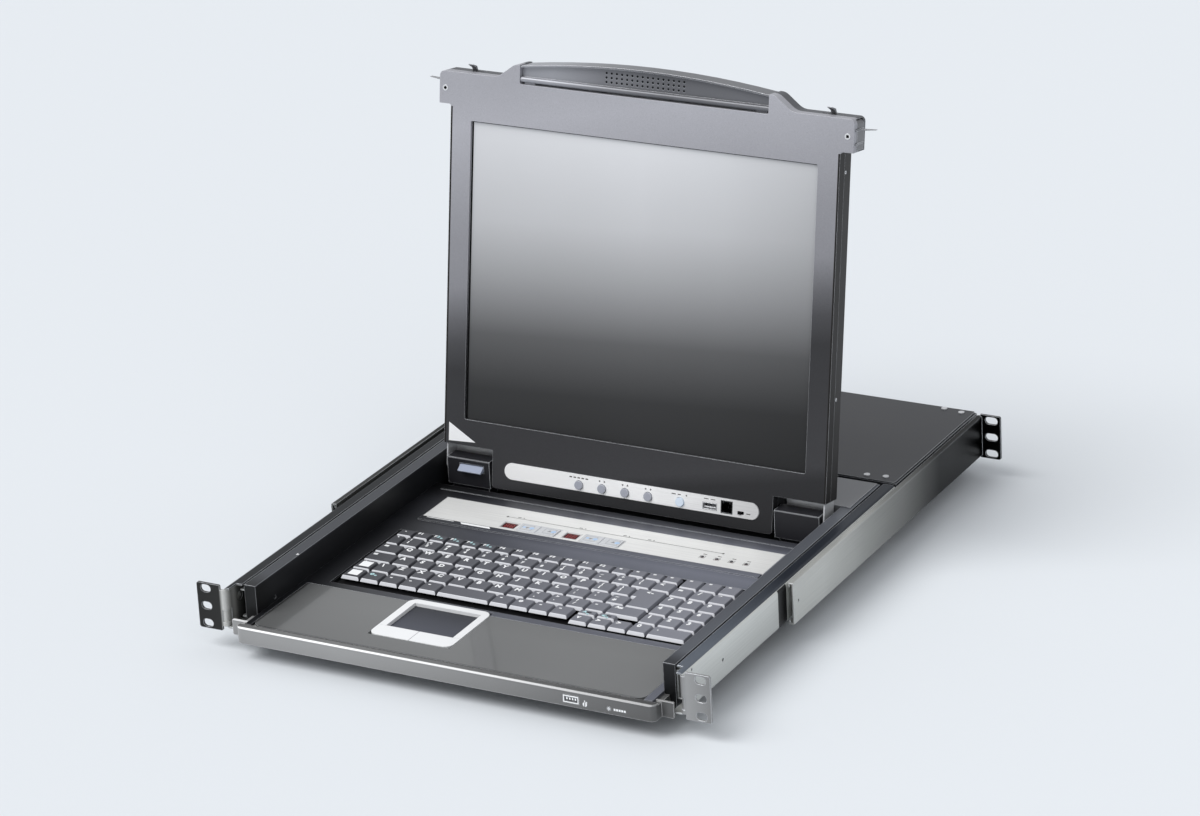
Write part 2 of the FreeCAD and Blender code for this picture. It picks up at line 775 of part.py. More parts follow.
touch_gap = box(
    "pad_left - seam", "pad_right + seam", "pad_front", "pad_back + seam", "%s - 1" % deck_low,
    "deck_top + 1")
key_gap_box = box(
    "key_bay_left - seam", "key_bay_right + seam", "key_bay_front - seam", "key_bay_back + seam",
    "%s - 1" % deck_low, "deck_top + 1")
strip_gap = box(
    "-strip_wide / 2 - seam", "strip_wide / 2 + seam", "strip_front - seam", "strip_back + seam",
    "%s - 1" % deck_low, "deck_top + 1")
deck_whole = fuse(deck_sheet, deck_skirt, ridge, strip_step, *deck_ribs)
keep("deck_bezel", cut(deck_whole, palm_gap, touch_gap, key_gap_box, strip_gap))

# Palm panel, open round the touchpad, on two feet
palm_sheet = plate(
    "z", "palm_left", "palm_right", "deck_front", "palm_back", deck_low, "deck_top", "palm_round", (0, 1))
palm_feet = []
for across in ("-150", "60", "150"):
    palm_feet.append(box(
        "%s - 3" % across, "%s + 3" % across, "tray_front + 6", "palm_back - 8", floor_top, deck_low))
palm_cut = box(
    "pad_left - seam", "pad_right + seam", "pad_front - seam", "palm_back + 1", "%s - 1" % deck_low,
    "deck_top + 1")
keep("palm_rest", cut(fuse(palm_sheet, *palm_feet), palm_cut))

# Touchpad frame with its floor, the pad and the two buttons
frame_block = plate(
    "z", "pad_left", "pad_right", "pad_front", "pad_back", "pad_low", "pad_top", "pad_round", (0, 1, 2, 3))
frame_foot = box("pad_left + 20", "pad_right - 20", "pad_front + 15", "pad_back - 15", floor_top, "pad_low")
pad_well = box(
    "pad_left + pad_rim", "pad_right - pad_rim", "pad_split - 1", "pad_back - pad_rim",
    "pad_top - pad_sink - 1.3", "pad_top + 1")
button_well = box(
    "pad_left - 1", "pad_right + 1", "pad_front - 1", "pad_split", "pad_top - pad_button_thick - 1",
    "pad_top + 1")
keep("touchpad_frame", cut(fuse(frame_block, frame_foot), pad_well, button_well))
keep("touchpad", box(
    "pad_left + pad_rim + seam", "pad_right - pad_rim - seam", "pad_split + seam",
    "pad_back - pad_rim - seam",
    "pad_top - pad_sink - 1.3", "pad_top - pad_sink"))
button_low = "pad_top - pad_button_thick"
middle_line = "(pad_left + pad_right) / 2"
left_button = plate(
    "z", "pad_left", "%s - 0.3" % middle_line, "pad_front", "pad_split - seam", button_low, "pad_top",
    "pad_round", (0,))
right_button = plate(
    "z", "%s + 0.3" % middle_line, "pad_right", "pad_front", "pad_split - seam", button_low, "pad_top",
    "pad_round", (1,))
keep("pad_button_left", left_button)
keep("pad_button_right", right_button)

# Keys: the guide holes for their stems are gathered for the keyboard's plate
guide_holes = []


def key(left, right, front, back, drop="0"):
    """One key cap on its stem, its front face sloping more than the others."""
    low = "(key_top - key_high - (%s))" % drop
    cap = doc.addObject("Part::Wedge", "cap")
    x0 = "(%s) + key_gap / 2" % left
    x1 = "(%s) - key_gap / 2" % right
    y0 = "(%s) + key_gap / 2" % front
    y1 = "(%s) - key_gap / 2" % back
    # The wedge's own Y is its height, so it is stood up
    cap.Placement = FreeCAD.Placement(FreeCAD.Vector(), FreeCAD.Rotation(FreeCAD.Vector(1, 0, 0), 90))
    bind(cap, "Xmax", "(%s) - (%s)" % (x1, x0))
    bind(cap, "X2min", "key_draft")
    bind(cap, "X2max", "(%s) - (%s) - key_draft" % (x1, x0))
    bind(cap, "Ymax", "key_high")
    bind(cap, "Zmax", "(%s) - (%s)" % (y1, y0))
    bind(cap, "Z2min", "0.5")
    bind(cap, "Z2max", "(%s) - (%s) - key_slope" % (y1, y0))
    cap.Xmin = 0
    cap.Ymin = 0
    cap.Zmin = 0
    spot(cap, x0, y1, low)
    centre_x = "((%s) + (%s)) / 2" % (left, right)
    centre_y = "((%s) + (%s)) / 2" % (front, back)
    stem = box(
        "%s - stem_wide / 2" % centre_x, "%s + stem_wide / 2" % centre_x,
        "%s - stem_wide / 2" % centre_y, "%s + stem_wide / 2" % centre_y, "stem_low", "%s + 0.4" % low)
    guide_holes.append(box(
        "%s - stem_wide / 2 - stem_gap" % centre_x, "%s + stem_wide / 2 + stem_gap" % centre_x,
        "%s - stem_wide / 2 - stem_gap" % centre_y, "%s + stem_wide / 2 + stem_gap" % centre_y,
        "stem_low", "key_plate_top + 1"))
    return [cap, stem]


def key_row(left, front, back, widths):
    """A row of keys, given as widths in key units."""
    pieces = []
    at = "(%s)" % left
    for wide in widths:
        after = "(%s + %s * key_unit)" % (at, wide)
        pieces += key(at, after, front, back)
        at = after
    return pieces


row_back = "(keys_back - function_deep)"
rows = []
for i in range(6):
    rows.append("(%s - %d * key_rise)" % (row_back, i))


def pad_row(step, widths=(1, 1, 1)):
    """One row of the number pad, counted from the back."""
    pieces = []
    at = "pad_keys_left"
    back = "(keys_back - %d * pad_key_deep)" % step
    for wide in widths:
        after = "(%s + %s * pad_key_wide)" % (at, wide)
        pieces += key(at, after, "%s - pad_key_deep" % back, back)
        at = after
    return pieces


function_keys = pad_row(0)
for i in range(17):
    left = "keys_left + %d * function_unit" % i
    function_keys += key(left, "keys_left + %d * function_unit" % (i + 1), row_back, "keys_back")
keep("keys_function", fuse(*function_keys))

number_keys = key_row("keys_left", rows[1], rows[0], [0.72] + [1] * 13 + [1.02])
keep("keys_number", fuse(*(number_keys + pad_row(1))))
upper_keys = key_row("keys_left", rows[2], rows[1], [1.22] + [1] * 12)
keep("keys_upper", fuse(*(upper_keys + pad_row(2))))

# The return key is one L across two rows
home_keys = key_row("keys_left", rows[3], rows[2], [1.47] + [1] * 12)
return_long = key("keys_left + 13.47 * key_unit", "keys_left + 14.72 * key_unit", rows[3], rows[1])
return_top = key("keys_left + 13.22 * key_unit", "keys_left + 14.72 * key_unit", rows[2], rows[1])
keep("keys_home", fuse(*(home_keys + return_long + return_top + pad_row(3))))
lower_keys = key_row("keys_left", rows[4], rows[3], [0.98] + [1] * 12 + [1.73])
keep("keys_lower", fuse(*(lower_keys + pad_row(4))))

bottom_keys = key_row("keys_left", rows[5], rows[4], [1] * 5)
space_left = "(keys_left + 5 * key_unit)"
space_right = "(keys_left + 7.69 * key_unit)"
bottom_keys += key_row(space_right, rows[5], rows[4], [1] * 4)
cluster_front = "(keys_back - 6 * pad_key_deep)"
for i in range(2):
    left = "cluster_left + %d * pad_key_wide" % i
    right = "cluster_left + %d * pad_key_wide" % (i + 1)
    bottom_keys += key(left, right, "%s + 15" % cluster_front, rows[4])
    bottom_keys += key(left, right, cluster_front, "%s + 15" % cluster_front)
bottom_keys += key(
    "cluster_left + 2 * pad_key_wide", "pad_keys_left", cluster_front, "%s + 17" % cluster_front)
keep("keys_bottom", fuse(*(bottom_keys + pad_row(5, (1, 2)))))
keep("space_bar", fuse(*key(space_left, space_right, rows[5], rows[4])))

# Keyboard base: a sunk bay with a plate that guides the stems
bay_low = "(stem_low - key_press - seam)"
bay_block = box(
    "key_bay_left", "key_bay_right", "key_bay_front", "key_bay_back", "%s - 1.6" % bay_low, "deck_top - 0.4")
bay_hollow = box(
    "key_bay_left + 1.6", "key_bay_right - 1.6", "key_bay_front + 1.6", "key_bay_back - 1.6",
    "key_plate_top", "deck_top + 1")
bay_under = box(
    "key_bay_left + 1.6", "key_bay_right - 1.6", "key_bay_front + 1.6", "key_bay_back - 1.6",
    bay_low, "key_plate_top - 1.5")
bay_foot = box(
    "key_bay_left + 20", "key_bay_right - 20", "key_bay_front + 20", "key_bay_back - 20",
    floor_top, "%s - 1.6" % bay_low)
keep("keyboard_base", cut(fuse(bay_block, bay_foot), bay_hollow, bay_under, *guide_holes))

# Port selector strip with two windows, two rockers and four lamps
strip_sheet = box("-strip_wide / 2", "strip_wide / 2", "strip_front", "strip_back", deck_low, "deck_top")
strip_feet = []
for across in ("-150", "-110", "155"):
    strip_feet.append(box(
        "%s - 2" % across, "%s + 2" % across, "strip_front + 4", "strip_back - 4", floor_top, deck_low))
strip_holes = []
for left in ("window_one_left", "window_two_left"):
    strip_holes.append(box(
        left, "%s + window_wide" % left, "window_front", "window_front + window_deep",
        "%s - 1" % deck_low, "deck_top + 1"))
for left in ("rocker_one_left", "rocker_two_left"):
    strip_holes.append(box(
        "%s - rocker_swing_room" % left, "%s + rocker_wide + rocker_swing_room" % left,
        "rocker_front - rocker_swing_room", "rocker_front + rocker_deep + rocker_swing_room",
        "%s - 1" % deck_low, "deck_top + 1"))
for i in range(4):
    strip_holes.append(rod(
        "z", "lamp_first + %d * lamp_pitch" % i, "lamp_row", "%s - 1" % deck_low, "lamp_round + 0.2",
        "deck_thick + 2"))
keep("control_strip", cut(fuse(strip_sheet, *strip_feet), *strip_holes))

board_low = "(%s - 3)" % deck_low
board_high = "(%s - 1.4)" % deck_low
display = [box("-100", "54", "window_front - 3", "lamp_row + 8", board_low, board_high)]
display.append(box("68", "149", "lamp_row - 6", "lamp_row + 6", board_low, board_high))
display.append(box("50", "70", "lamp_row - 3", "lamp_row + 3", board_low, board_high))
display.append(box("-96", "-88", "lamp_row - 4", "lamp_row + 4", floor_top, board_low))
display.append(box("40", "48", "lamp_row - 4", "lamp_row + 4", floor_top, board_low))
display.append(box("110", "118", "lamp_row - 4", "lamp_row + 4", floor_top, board_low))
for left in ("window_one_left", "window_two_left"):
    display.append(box(
        "%s + seam" % left, "%s + window_wide - seam" % left, "window_front + seam",
        "window_front + window_deep - seam", "%s - 0.2" % board_high, "deck_top - 0.6"))
for i in range(4):
    display.append(rod(
        "z", "lamp_first + %d * lamp_pitch" % i, "lamp_row", "%s - 0.2" % board_high, "lamp_round",
        "deck_top + 0.5 - %s" % board_high))
keep("display_module", fuse(*display))


def rocker(left):
    """A tilting rocker plate with a shallow dished middle."""
    body = plate(
        "z", left, "%s + rocker_wide" % left, "rocker_front", "rocker_front + rocker_deep",
        "deck_top - 1.6", "deck_top + rocker_stand", "1", (0, 1, 2, 3))
    dish = box(
        "%s + rocker_wide / 2 - 0.4" % left, "%s + rocker_wide / 2 + 0.4" % left, "rocker_front - 1",
        "rocker_front + rocker_deep + 1", "deck_top + rocker_stand - 0.5", "deck_top + rocker_stand + 1")
    return cut(body, dish)


keep("port_rocker_1", rocker("rocker_one_left"))
keep("port_rocker_2", rocker("rocker_two_left"))

# Hinge blocks on the tray: each is rounded about the hinge line
block_swing = "(block_top - hinge_z)"
block_outline = [
    ("block_front", "block_low"),
    ("hinge_y + %s - 2" % block_swing, "block_low"),
    ("hinge_y + %s" % block_swing, "hinge_z - 1"),
    ("hinge_y + %s" % block_swing, "block_top"),
    ("block_front", "block_top"),
]
block_body = extrusion(
    "x", block_outline, "block_inner", "block_outer", [("%s - 0.05" % block_swing, [3]), ("1", [4])])
block_foot = box(
    "block_inner + 3", "block_outer - 3", "block_front + 3", "hinge_y + 3", floor_top, "block_low + 0.5")
shaft_in = "(block_inner + 5)"
block_bore = rod("x", shaft_in + " - seam", "hinge_y", "hinge_z", "shaft_round + shaft_gap", "60")
block_right = cut(fuse(block_body, block_foot), block_bore)
keep("hinge_block_right", block_right)
block_left = mirror(block_right)

# Lamp flap in the front of the left block
flap_y = "(block_front + 1.6)"
flap_z = "(block_top - 9)"
flap_room = box(
    "flap_left - 0.4", "flap_right + 0.4", "block_front - 2", "%s + 2.5" % flap_y, "%s - 2.6" % flap_z,
    "%s + 4.4" % flap_z)
keep("hinge_block_left", cut(block_left, flap_room))
flap_outline = [
    ("%s - 1.2" % flap_y, "%s + 3.4" % flap_z),
    ("%s + 1.6" % flap_y, "%s + 3.4" % flap_z),
    ("%s + 1.2" % flap_y, "%s - 1.6" % flap_z),
    ("%s - 6.9" % flap_y, "%s - 1.6" % flap_z),
    ("%s - 7.3" % flap_y, "%s - 0.6" % flap_z),
]
keep("keyboard_lamp", extrusion("x", flap_outline, "flap_left", "flap_right"))

# Cover over the back of the tray, notched so that the screen's foot can swing
cover_low = "tray_top"
cover_high = "tray_top + cover_thick"
cover_sheet = box("-cover_wide / 2", "cover_wide / 2", "cover_front", "cover_back", cover_low, cover_high)
cover_cut = box(
    "-block_inner - 1.5", "block_inner + 1.5", "cover_front - 1", "cover_notch", "%s - 1" % cover_low, "30")
cover_walls = []
cover_walls.append(box(
    "-block_inner - 1.5", "block_inner + 1.5", "cover_notch", "cover_notch + wall_skin", floor_top,
    cover_low))
for side in ("-1", "1"):
    a = "%s * (block_inner + 2.1)" % side
    cover_walls.append(box(
        "%s - 0.6" % a, "%s + 0.6" % a, "cover_front", "cover_notch + wall_skin", floor_top, cover_low))
cover_walls.append(box(
    "block_inner + 1.5", "%s - seam" % wall_in, "cover_front", "cover_front + wall_skin", floor_top,
    cover_low))
cover_walls.append(box(
    "-%s + seam" % wall_in, "-block_inner - 1.5", "cover_front", "cover_front + wall_skin", floor_top,
    cover_low))
keep("mid_cover", fuse(cut(cover_sheet, cover_cut), *cover_walls))

# Screen head: the outline of its front and back halves, with an inset for the hollow
head_half = "head_wide / 2"
shoulder_half = "shoulder_wide / 2"
notch_half = "notch_wide / 2"
crown_half = "crown_wide / 2"
crown_foot = "crown_start / 2"
foot_half = "foot_wide / 2"


def head_outline(skin):
    right = [
        ("%s - %s" % (foot_half, skin), "head_low + %s" % skin),
        ("%s - %s" % (foot_half, skin), "foot_notch + %s" % skin),
        ("%s - %s" % (head_half, skin), "foot_notch + %s" % skin),
        ("%s - %s" % (head_half, skin), "ear_low + %s" % skin),
        ("%s - %s" % (shoulder_half, skin), "ear_low + %s" % skin),
        ("%s - %s" % (shoulder_half, skin), "ear_top - %s" % skin),
        ("%s + %s" % (crown_foot, skin), "ear_top - %s" % skin),
        ("%s + %s" % (crown_half, skin), "crown_top - %s" % skin),
        ("%s + %s" % (notch_half, skin), "crown_top - %s" % skin),
        ("%s + %s" % (notch_half, skin), "notch_floor - %s" % skin),
    ]
    left = [("-(%s)" % across, up) for across, up in reversed(right)]
    return right + left


def head_slab(start, end, skin="0", soft=False):
    """A slab of the head's outline between two depths, soft with its outer corners rounded."""
    rounds = ()
    if soft:
        rounds = [
            ("3", [0, 19]), ("4.5", [5, 14]), ("crown_soft", [7, 12]), ("crown_foot_soft", [6, 13]),
            ("2", [3, 16, 9, 10])]
    return extrusion("y", head_outline(skin), start, end, rounds)


front_slab = head_slab("0", "split_depth", soft=True)
front_hollow = head_slab("front_skin", "split_depth + 1", "head_skin")
screen_gap = plate(
    "y", "-screen_wide / 2", "screen_wide / 2", "screen_low", "screen_high", "-1", "front_skin + 1", "1.5",
    (0, 1, 2, 3))
plate_mid = "(plate_low + plate_high) / 2"
plate_half = "((plate_high - plate_low) / 2)"
plate_gap = slot(
    "y", "0", "-1", plate_mid, "%s + 0.15" % plate_half, "plate_wide + 0.3", "front_skin + 2")
arm_gaps = []
catch_slots = []
for side in ("-1", "1"):
    near = "%s * (block_inner + head_wide / 2 - head_skin) / 2" % side
    half = "(head_wide / 2 - head_skin - block_inner) / 2 + 0.5"
    arm_gaps.append(box(
        "%s - (%s)" % (near, half), "%s + %s" % (near, half), "front_skin - 0.2", "head_thick - head_skin",
        "foot_notch - 1", "foot_notch + head_skin + 1"))
    middle = "%s * (catch_outer + catch_inner - catch_travel - 0.6) / 2" % side
    reach = "(catch_outer - catch_inner + catch_travel + 3) / 2"
    catch_slots.append(box(
        "%s - %s" % (middle, reach), "%s + %s" % (middle, reach), "catch_front - seam", "catch_back + seam",
        "catch_low - seam", "catch_high - seam + 0.6"))
    for fin in ("fin_one", "fin_two"):
        catch_slots.append(box(
            "%s - %s" % (middle, reach), "%s + %s" % (middle, reach), "fin_front - seam", "catch_front + 1",
            "%s - seam" % fin, "%s + fin_thick + seam" % fin))
    middle = "%s * (tab_inner + tab_outer - catch_travel) / 2" % side
    reach = "(tab_outer - tab_inner + catch_travel + 1) / 2"
    catch_slots.append(box(
        "%s - %s" % (middle, reach), "%s + %s" % (middle, reach), "tab_depth - tab_thick - 1.6",
        "tab_depth + seam",
        "catch_high - 4", "ear_top + 2"))
keep("lcd_bezel", on_head(cut(front_slab, front_hollow, screen_gap, plate_gap, *(arm_gaps + catch_slots))))

back_slab = head_slab("split_depth", "head_thick", soft=True)
back_hollow = head_slab("split_depth - 1", "head_thick - head_skin", "head_skin")
back_posts = []
for across in ("-60", "60"):
    for up in ("120", "200"):
        back_posts.append(rod(
            "y", across, "driver_depth + 1.6", up, "3", "head_thick - head_skin + 0.3 - driver_depth - 1.6"))
vents = []
for i in range(12):
    vents.append(slot(
        "y", "0", "head_thick - head_skin - 1", "250 + %d * 5" % i, "1.1", "120", "head_skin + 2"))
back_shell = cut(back_slab, back_hollow, *(arm_gaps + catch_slots + vents))
keep("lcd_back", on_head(fuse(back_shell, *back_posts)))

panel_glass = box(
    "-screen_wide / 2 - glass_margin", "screen_wide / 2 + glass_margin", "front_skin",
    "front_skin + glass_thick",
    "screen_low - glass_margin", "screen_high + glass_margin")
keep("lcd_panel", on_head(panel_glass))

driver_parts = [box("-80", "80", "driver_depth", "driver_depth + 1.6", "105", "215")]
for left, low, wide, tall in (
        ("-40", "140", "28", "28"), ("15", "150", "18", "18"), ("-60", "190", "50", "10"),
        ("40", "120", "24", "12")):
    driver_parts.append(box(
        left, "%s + %s" % (left, wide), "driver_depth - 2", "driver_depth + 0.2",
        low, "%s + %s" % (low, tall)))
keep("lcd_driver_board", on_head(fuse(*driver_parts)))

# Control plate below the screen, its buttons and sockets
plate_slab = slot("y", "0", "-plate_stand", plate_mid, plate_half, "plate_wide", "front_skin + plate_stand")
plate_flange = box(
    "-plate_wide / 2 - 3", "plate_wide / 2 + 3", "front_skin", "front_skin + 1.2",
    "head_low + head_skin + 0.5",
    "plate_high + 4")
plate_holes = []
button_places = ["(button_first + %d * button_pitch)" % i for i in range(4)] + ["power_button_at"]
for place in button_places:
    plate_holes.append(rod("y", place, "-2", "button_up", "button_round + seam", "8"))
plate_holes.append(box(
    "screen_usb_at - usb_wide / 2 - 0.1", "screen_usb_at + usb_wide / 2 + 0.1", "-2", "8",
    "screen_usb_up - usb_high / 2 - 0.1", "screen_usb_up + usb_high / 2 + 0.1"))
plate_holes.append(box(
    "jack_at - jack_wide / 2 - 0.1", "jack_at + jack_wide / 2 + 0.1", "-2", "8",
    "jack_up - jack_high / 2 - 0.1", "jack_up + jack_high / 2 + 0.1"))
plate_holes.append(box(
    "switch_at - switch_wide / 2", "switch_at + switch_wide / 2", "-2", "8",
    "switch_up - switch_high / 2", "switch_up + switch_high / 2"))
keep("osd_plate", on_head(cut(fuse(plate_slab, plate_flange), *plate_holes)))


def push_button(place):
    """A round button with a collar behind the plate."""
    face = rod(
        "y", place, "-button_stand - plate_stand", "button_up", "button_round",
        "button_stand + plate_stand + 4.5")
    collar = rod("y", place, "front_skin + 1.2 + seam", "button_up", "button_round + 1.2", "1.2")
    return fuse(face, collar)


for i in range(4):
    keep("osd_button_%d" % (i + 1), on_head(push_button(button_places[i])))
keep("lcd_power_button", on_head(push_button("power_button_at")))

screen_usb = usb_shell("screen_usb_at", "screen_usb_up", "-plate_stand - 0.2", "14", "-1.6")
jack_block = box(
    "jack_at - jack_wide / 2", "jack_at + jack_wide / 2", "-plate_stand - 0.2", "15",
    "jack_up - jack_high / 2", "jack_up + jack_high / 2")
jack_mouth = box(
    "jack_at - jack_wide / 2 + 0.8", "jack_at + jack_wide / 2 - 0.8", "-2", "13",
    "jack_up - jack_high / 2 + 0.8", "jack_up + jack_high / 2 - 2.4")
jack_latch = box(
    "jack_at - 2.5", "jack_at + 2.5", "-2", "13", "jack_up - jack_high / 2 + 1",
    "jack_up + jack_high / 2 - 0.8")
keep("service_ports", on_head(group(screen_usb, cut(jack_block, jack_mouth, jack_latch))))
switch_knob = box(
    "switch_at - switch_wide / 2 + 0.3", "switch_at - switch_wide / 2 + 3.4", "-plate_stand - 0.9", "4.5",
    "switch_up - switch_high / 2 + 0.3", "switch_up + switch_high / 2 - 0.3")
keep("service_switch", on_head(switch_knob))

# Handle: an arched grip over a round lower roll
grip_low = "handle_low + roll_round"
arch_half = "(notch_wide / 2 - seam)"
grip_outline = [("-" + arch_half, grip_low), (arch_half, grip_low)]
for i in range(13):
    share = 1 - i / 6
    grip_outline.append((
        "%s * %.4f" % (arch_half, share),
        "handle_side + (handle_crown - handle_side) * %.4f" % (1 - share * share)))
grip = extrusion("y", grip_outline, "handle_front", "handle_back", [("1.2", [2, 14])])
dish_outline = [("-%s - 1" % arch_half, "handle_low - 1"), ("%s + 1" % arch_half, "handle_low - 1")]
for i in range(13):
    share = 1 - i / 6
    dish_outline.append((
        "(%s + 1) * %.4f" % (arch_half, share),
        "handle_side - handle_rim + (handle_crown - handle_side) * %.4f" % (1 - share * share)))
dish = extrusion("y", dish_outline, "handle_front - 1", "handle_front + handle_dish")
roll = rod("x", "-" + arch_half, "handle_front + roll_round", grip_low, "roll_round", "2 * %s" % arch_half)
back_roll = rod(
    "x", "-" + arch_half, "handle_back - roll_round", grip_low, "roll_round", "2 * %s" % arch_half)
roll_middle = box(
    "-" + arch_half, arch_half, "handle_front + roll_round", "handle_back - roll_round", "handle_low",
    grip_low)
handle_feet = []
for side in ("-1", "1"):
    handle_feet.append(box(
        "%s * (notch_wide / 2 - 8) - 5" % side, "%s * (notch_wide / 2 - 8) + 5" % side, "handle_front + 3",
        "handle_back - 3", "notch_floor", "handle_low + 1"))
keep("handle", on_head(fuse(cut(grip, dish), roll, back_roll, roll_middle, *handle_feet)))

# Hinge arms with their rear leaves, and the shafts they turn on
arm_outline = [
    ("hinge_depth - 9.5", "hinge_up - 7"),
    ("hinge_depth + 7", "hinge_up - 7"),
    ("head_thick - head_skin", "hinge_up"),
    ("head_thick - head_skin", "foot_notch + 30"),
    ("hinge_depth - 1.5", "foot_notch + 30"),
    ("hinge_depth - 1.5", "foot_notch + 4"),
    ("hinge_depth - 9.5", "foot_notch - 1.5"),
]
arm_plate = extrusion("x", arm_outline, "arm_inner", "arm_outer - 1.2", [("3", [0, 1])])
leaf = box(
    "block_inner + 2", "arm_outer - 1.2", "head_thick - head_skin - leaf_thick", "head_thick - head_skin",
    "hinge_up + 2", "foot_notch + 30")
arm_bore = rod("x", "arm_inner - 1", "hinge_depth", "hinge_up", "shaft_round", "6")
arm_right = cut(fuse(arm_plate, leaf), arm_bore)
keep("hinge_arms", on_head(group(arm_right, mirror(arm_right))))
shaft_right = rod("x", shaft_in, "hinge_depth", "hinge_up", "shaft_round", "arm_outer - 1.2 - %s" % shaft_in)
keep("hinge_shafts", on_head(group(shaft_right, mirror(shaft_right))))

# Catches: an end block with two fins and a pointed tongue, and a hooked finger tab on the top edge
catch_block = plate(
    "y", "catch_inner", "catch_outer", "catch_low", "catch_high", "catch_front", "catch_back", "catch_round",
    (2,))
catch_fins = []
for fin in ("fin_one", "fin_two"):
    catch_fins.append(box(
        "catch_inner + 1.4", "catch_outer + fin_out", "fin_front", "catch_back - 1", fin,
        "%s + fin_thick" % fin))
tongue_mid = "((catch_front + catch_back) / 2 - 1.5)"
tongue_outline = [
    ("catch_outer - 1", "fin_one"),
    ("catch_outer", "fin_one"),
    ("tongue_out", "tongue_tip - 0.3"),
    ("tongue_out", "tongue_tip"),
    ("catch_outer", "fin_one + fin_thick"),
    ("catch_outer - 1", "fin_one + fin_thick"),
]
catch_tongue = extrusion("y", tongue_outline, "%s - 2" % tongue_mid, "%s + 2" % tongue_mid)
catch_bar = box(
    "tab_inner", "catch_inner + 1", "catch_front + 4", "tab_depth", "catch_high - 8", "catch_high - 3.5")
tab_outline = [
    ("tab_depth", "catch_high - 5"),
    ("tab_depth", "ear_top"),
    ("tab_depth - 2.6", "tab_top - 2.4"),
    ("tab_depth - tab_reach", "tab_top"),
    ("tab_depth - tab_reach", "tab_top - 0.9"),
    ("tab_depth - 4", "tab_top - 3.8"),
    ("tab_depth - tab_thick", "ear_top - 0.4"),
    ("tab_depth - tab_thick", "catch_high - 5"),
]
catch_tab = extrusion("x", tab_outline, "tab_inner", "tab_outer", [("2.5", [2, 5])])
catch_right = fuse(catch_block, catch_tongue, catch_bar, catch_tab, *catch_fins)
keep("catch_right", on_head(catch_right))
keep("catch_left", mirror(catch_right))

# Rear box between the rails: chassis, cover, power supply, board and sockets
case_out = "(rail_wide / 2 - rail_thick)"
case_in = "(rail_wide / 2 - rail_thick - wall_skin)"
case_top = "(rear_top - wall_skin)"
case_floor = box("-" + case_out, case_out, "rear_front", "rear_back", "tray_low", floor_top)
case_parts = [case_floor]
case_parts.append(box("-" + case_out, "-" + case_in, "rear_front", "rear_back", "tray_low", case_top))
case_parts.append(box(case_in, case_out, "rear_front", "rear_back", "tray_low", case_top))
case_parts.append(box("-" + case_in, case_in, "rear_front", "rear_front + wall_skin", "tray_low", case_top))
case_parts.append(box("-" + case_in, case_in, "rear_back - wall_skin", "rear_back", "tray_low", case_top))
for across in ("-180", "10"):
    for along in ("rear_front + 22", "rear_back - 51"):
        case_parts.append(rod("z", across, along, "%s - 0.2" % floor_top, "3", "6.7"))
wall_start = "rear_back - wall_skin - 1"
case_holes = [box(
    "inlet_at - inlet_wide / 2", "inlet_at + inlet_wide / 2", wall_start, "rear_back + 1",
    "-inlet_high / 2 - 1", "inlet_high / 2 - 1")]
case_holes.append(box(
    "rocker_switch_at - 10", "rocker_switch_at + 10", wall_start, "rear_back + 1", "-7.5", "5.5"))
case_holes.append(box("-150", "-116", wall_start, "rear_back + 1", "-12.3", "-1.7"))
for at, wide, high in (
        ("-80", "usb_wide", "usb_high"), ("-50", "usb_wide", "usb_high"), ("-20", "jack_wide", "jack_high")):
    case_holes.append(box(
        "%s - %s / 2" % (at, wide), "%s + %s / 2" % (at, wide), wall_start, "rear_back + 1",
        "-7 - %s / 2" % high, "-7 + %s / 2" % high))
keep("rear_chassis", cut(fuse(*case_parts), *case_holes))

lid = plate(
    "z", "-rear_wide / 2", "rear_wide / 2", "rear_front", "rear_back", case_top, "rear_top", "2",
    (0, 1, 2, 3))
lid_lips = []
for side in ("-1", "1"):
    at = "%s * (%s - seam - 0.6)" % (side, case_in)
    lid_lips.append(box(
        "%s - 0.6" % at, "%s + 0.6" % at, "rear_front + wall_skin + 1", "rear_back - wall_skin - 1", "8",
        case_top))
lid_holes = []
screws = []
screw_places = (
    ("rear_wide / 2 - 29.5", "rear_front + 7"), ("rear_wide / 2 - 12.5", "rear_front + 9"),
    ("rear_wide / 2 - 10.5", "rear_back - 7"), ("rear_wide / 2 - 28.5", "rear_back - 4"))
for side in ("-1", "1"):
    for across, along in screw_places:
        at = "%s * (%s)" % (side, across)
        lid_holes.append(rod("z", at, along, "%s - 2" % case_top, "cover_screw_round + seam", "6"))
        shank = rod("z", at, along, "rear_top - 5", "cover_screw_round", "5.2")
        head = rod("z", at, along, "rear_top", "cover_screw_round + 1.3", "0.8")
        screws.append(fuse(shank, head))
keep("rear_cover", cut(fuse(lid, *lid_lips), *lid_holes))
keep("cover_screws", group(*screws))

board = [box("-190", "20", "rear_front + 12", "rear_back - 36", "-14", "-12.4")]
for left, near, wide, deep, tall in (
        ("-130", "(rear_front + 52)", "32", "32", "3"), ("-70", "(rear_front + 42)", "20", "20", "2.4"),
        ("-170", "(rear_front + 32)", "24", "14", "2"), ("-20", "(rear_front + 92)", "18", "26", "6")):
    board.append(box(
        left, "%s + %s" % (left, wide), near, "%s + %s" % (near, deep), "-12.6", "-12.4 + %s" % tall))
keep("main_board", fuse(*board))
supply = plate("x", "rear_front + 24", "rear_back - 36", floor_top, "12", "40", "195", "2", (2, 3))
keep("power_supply", supply)

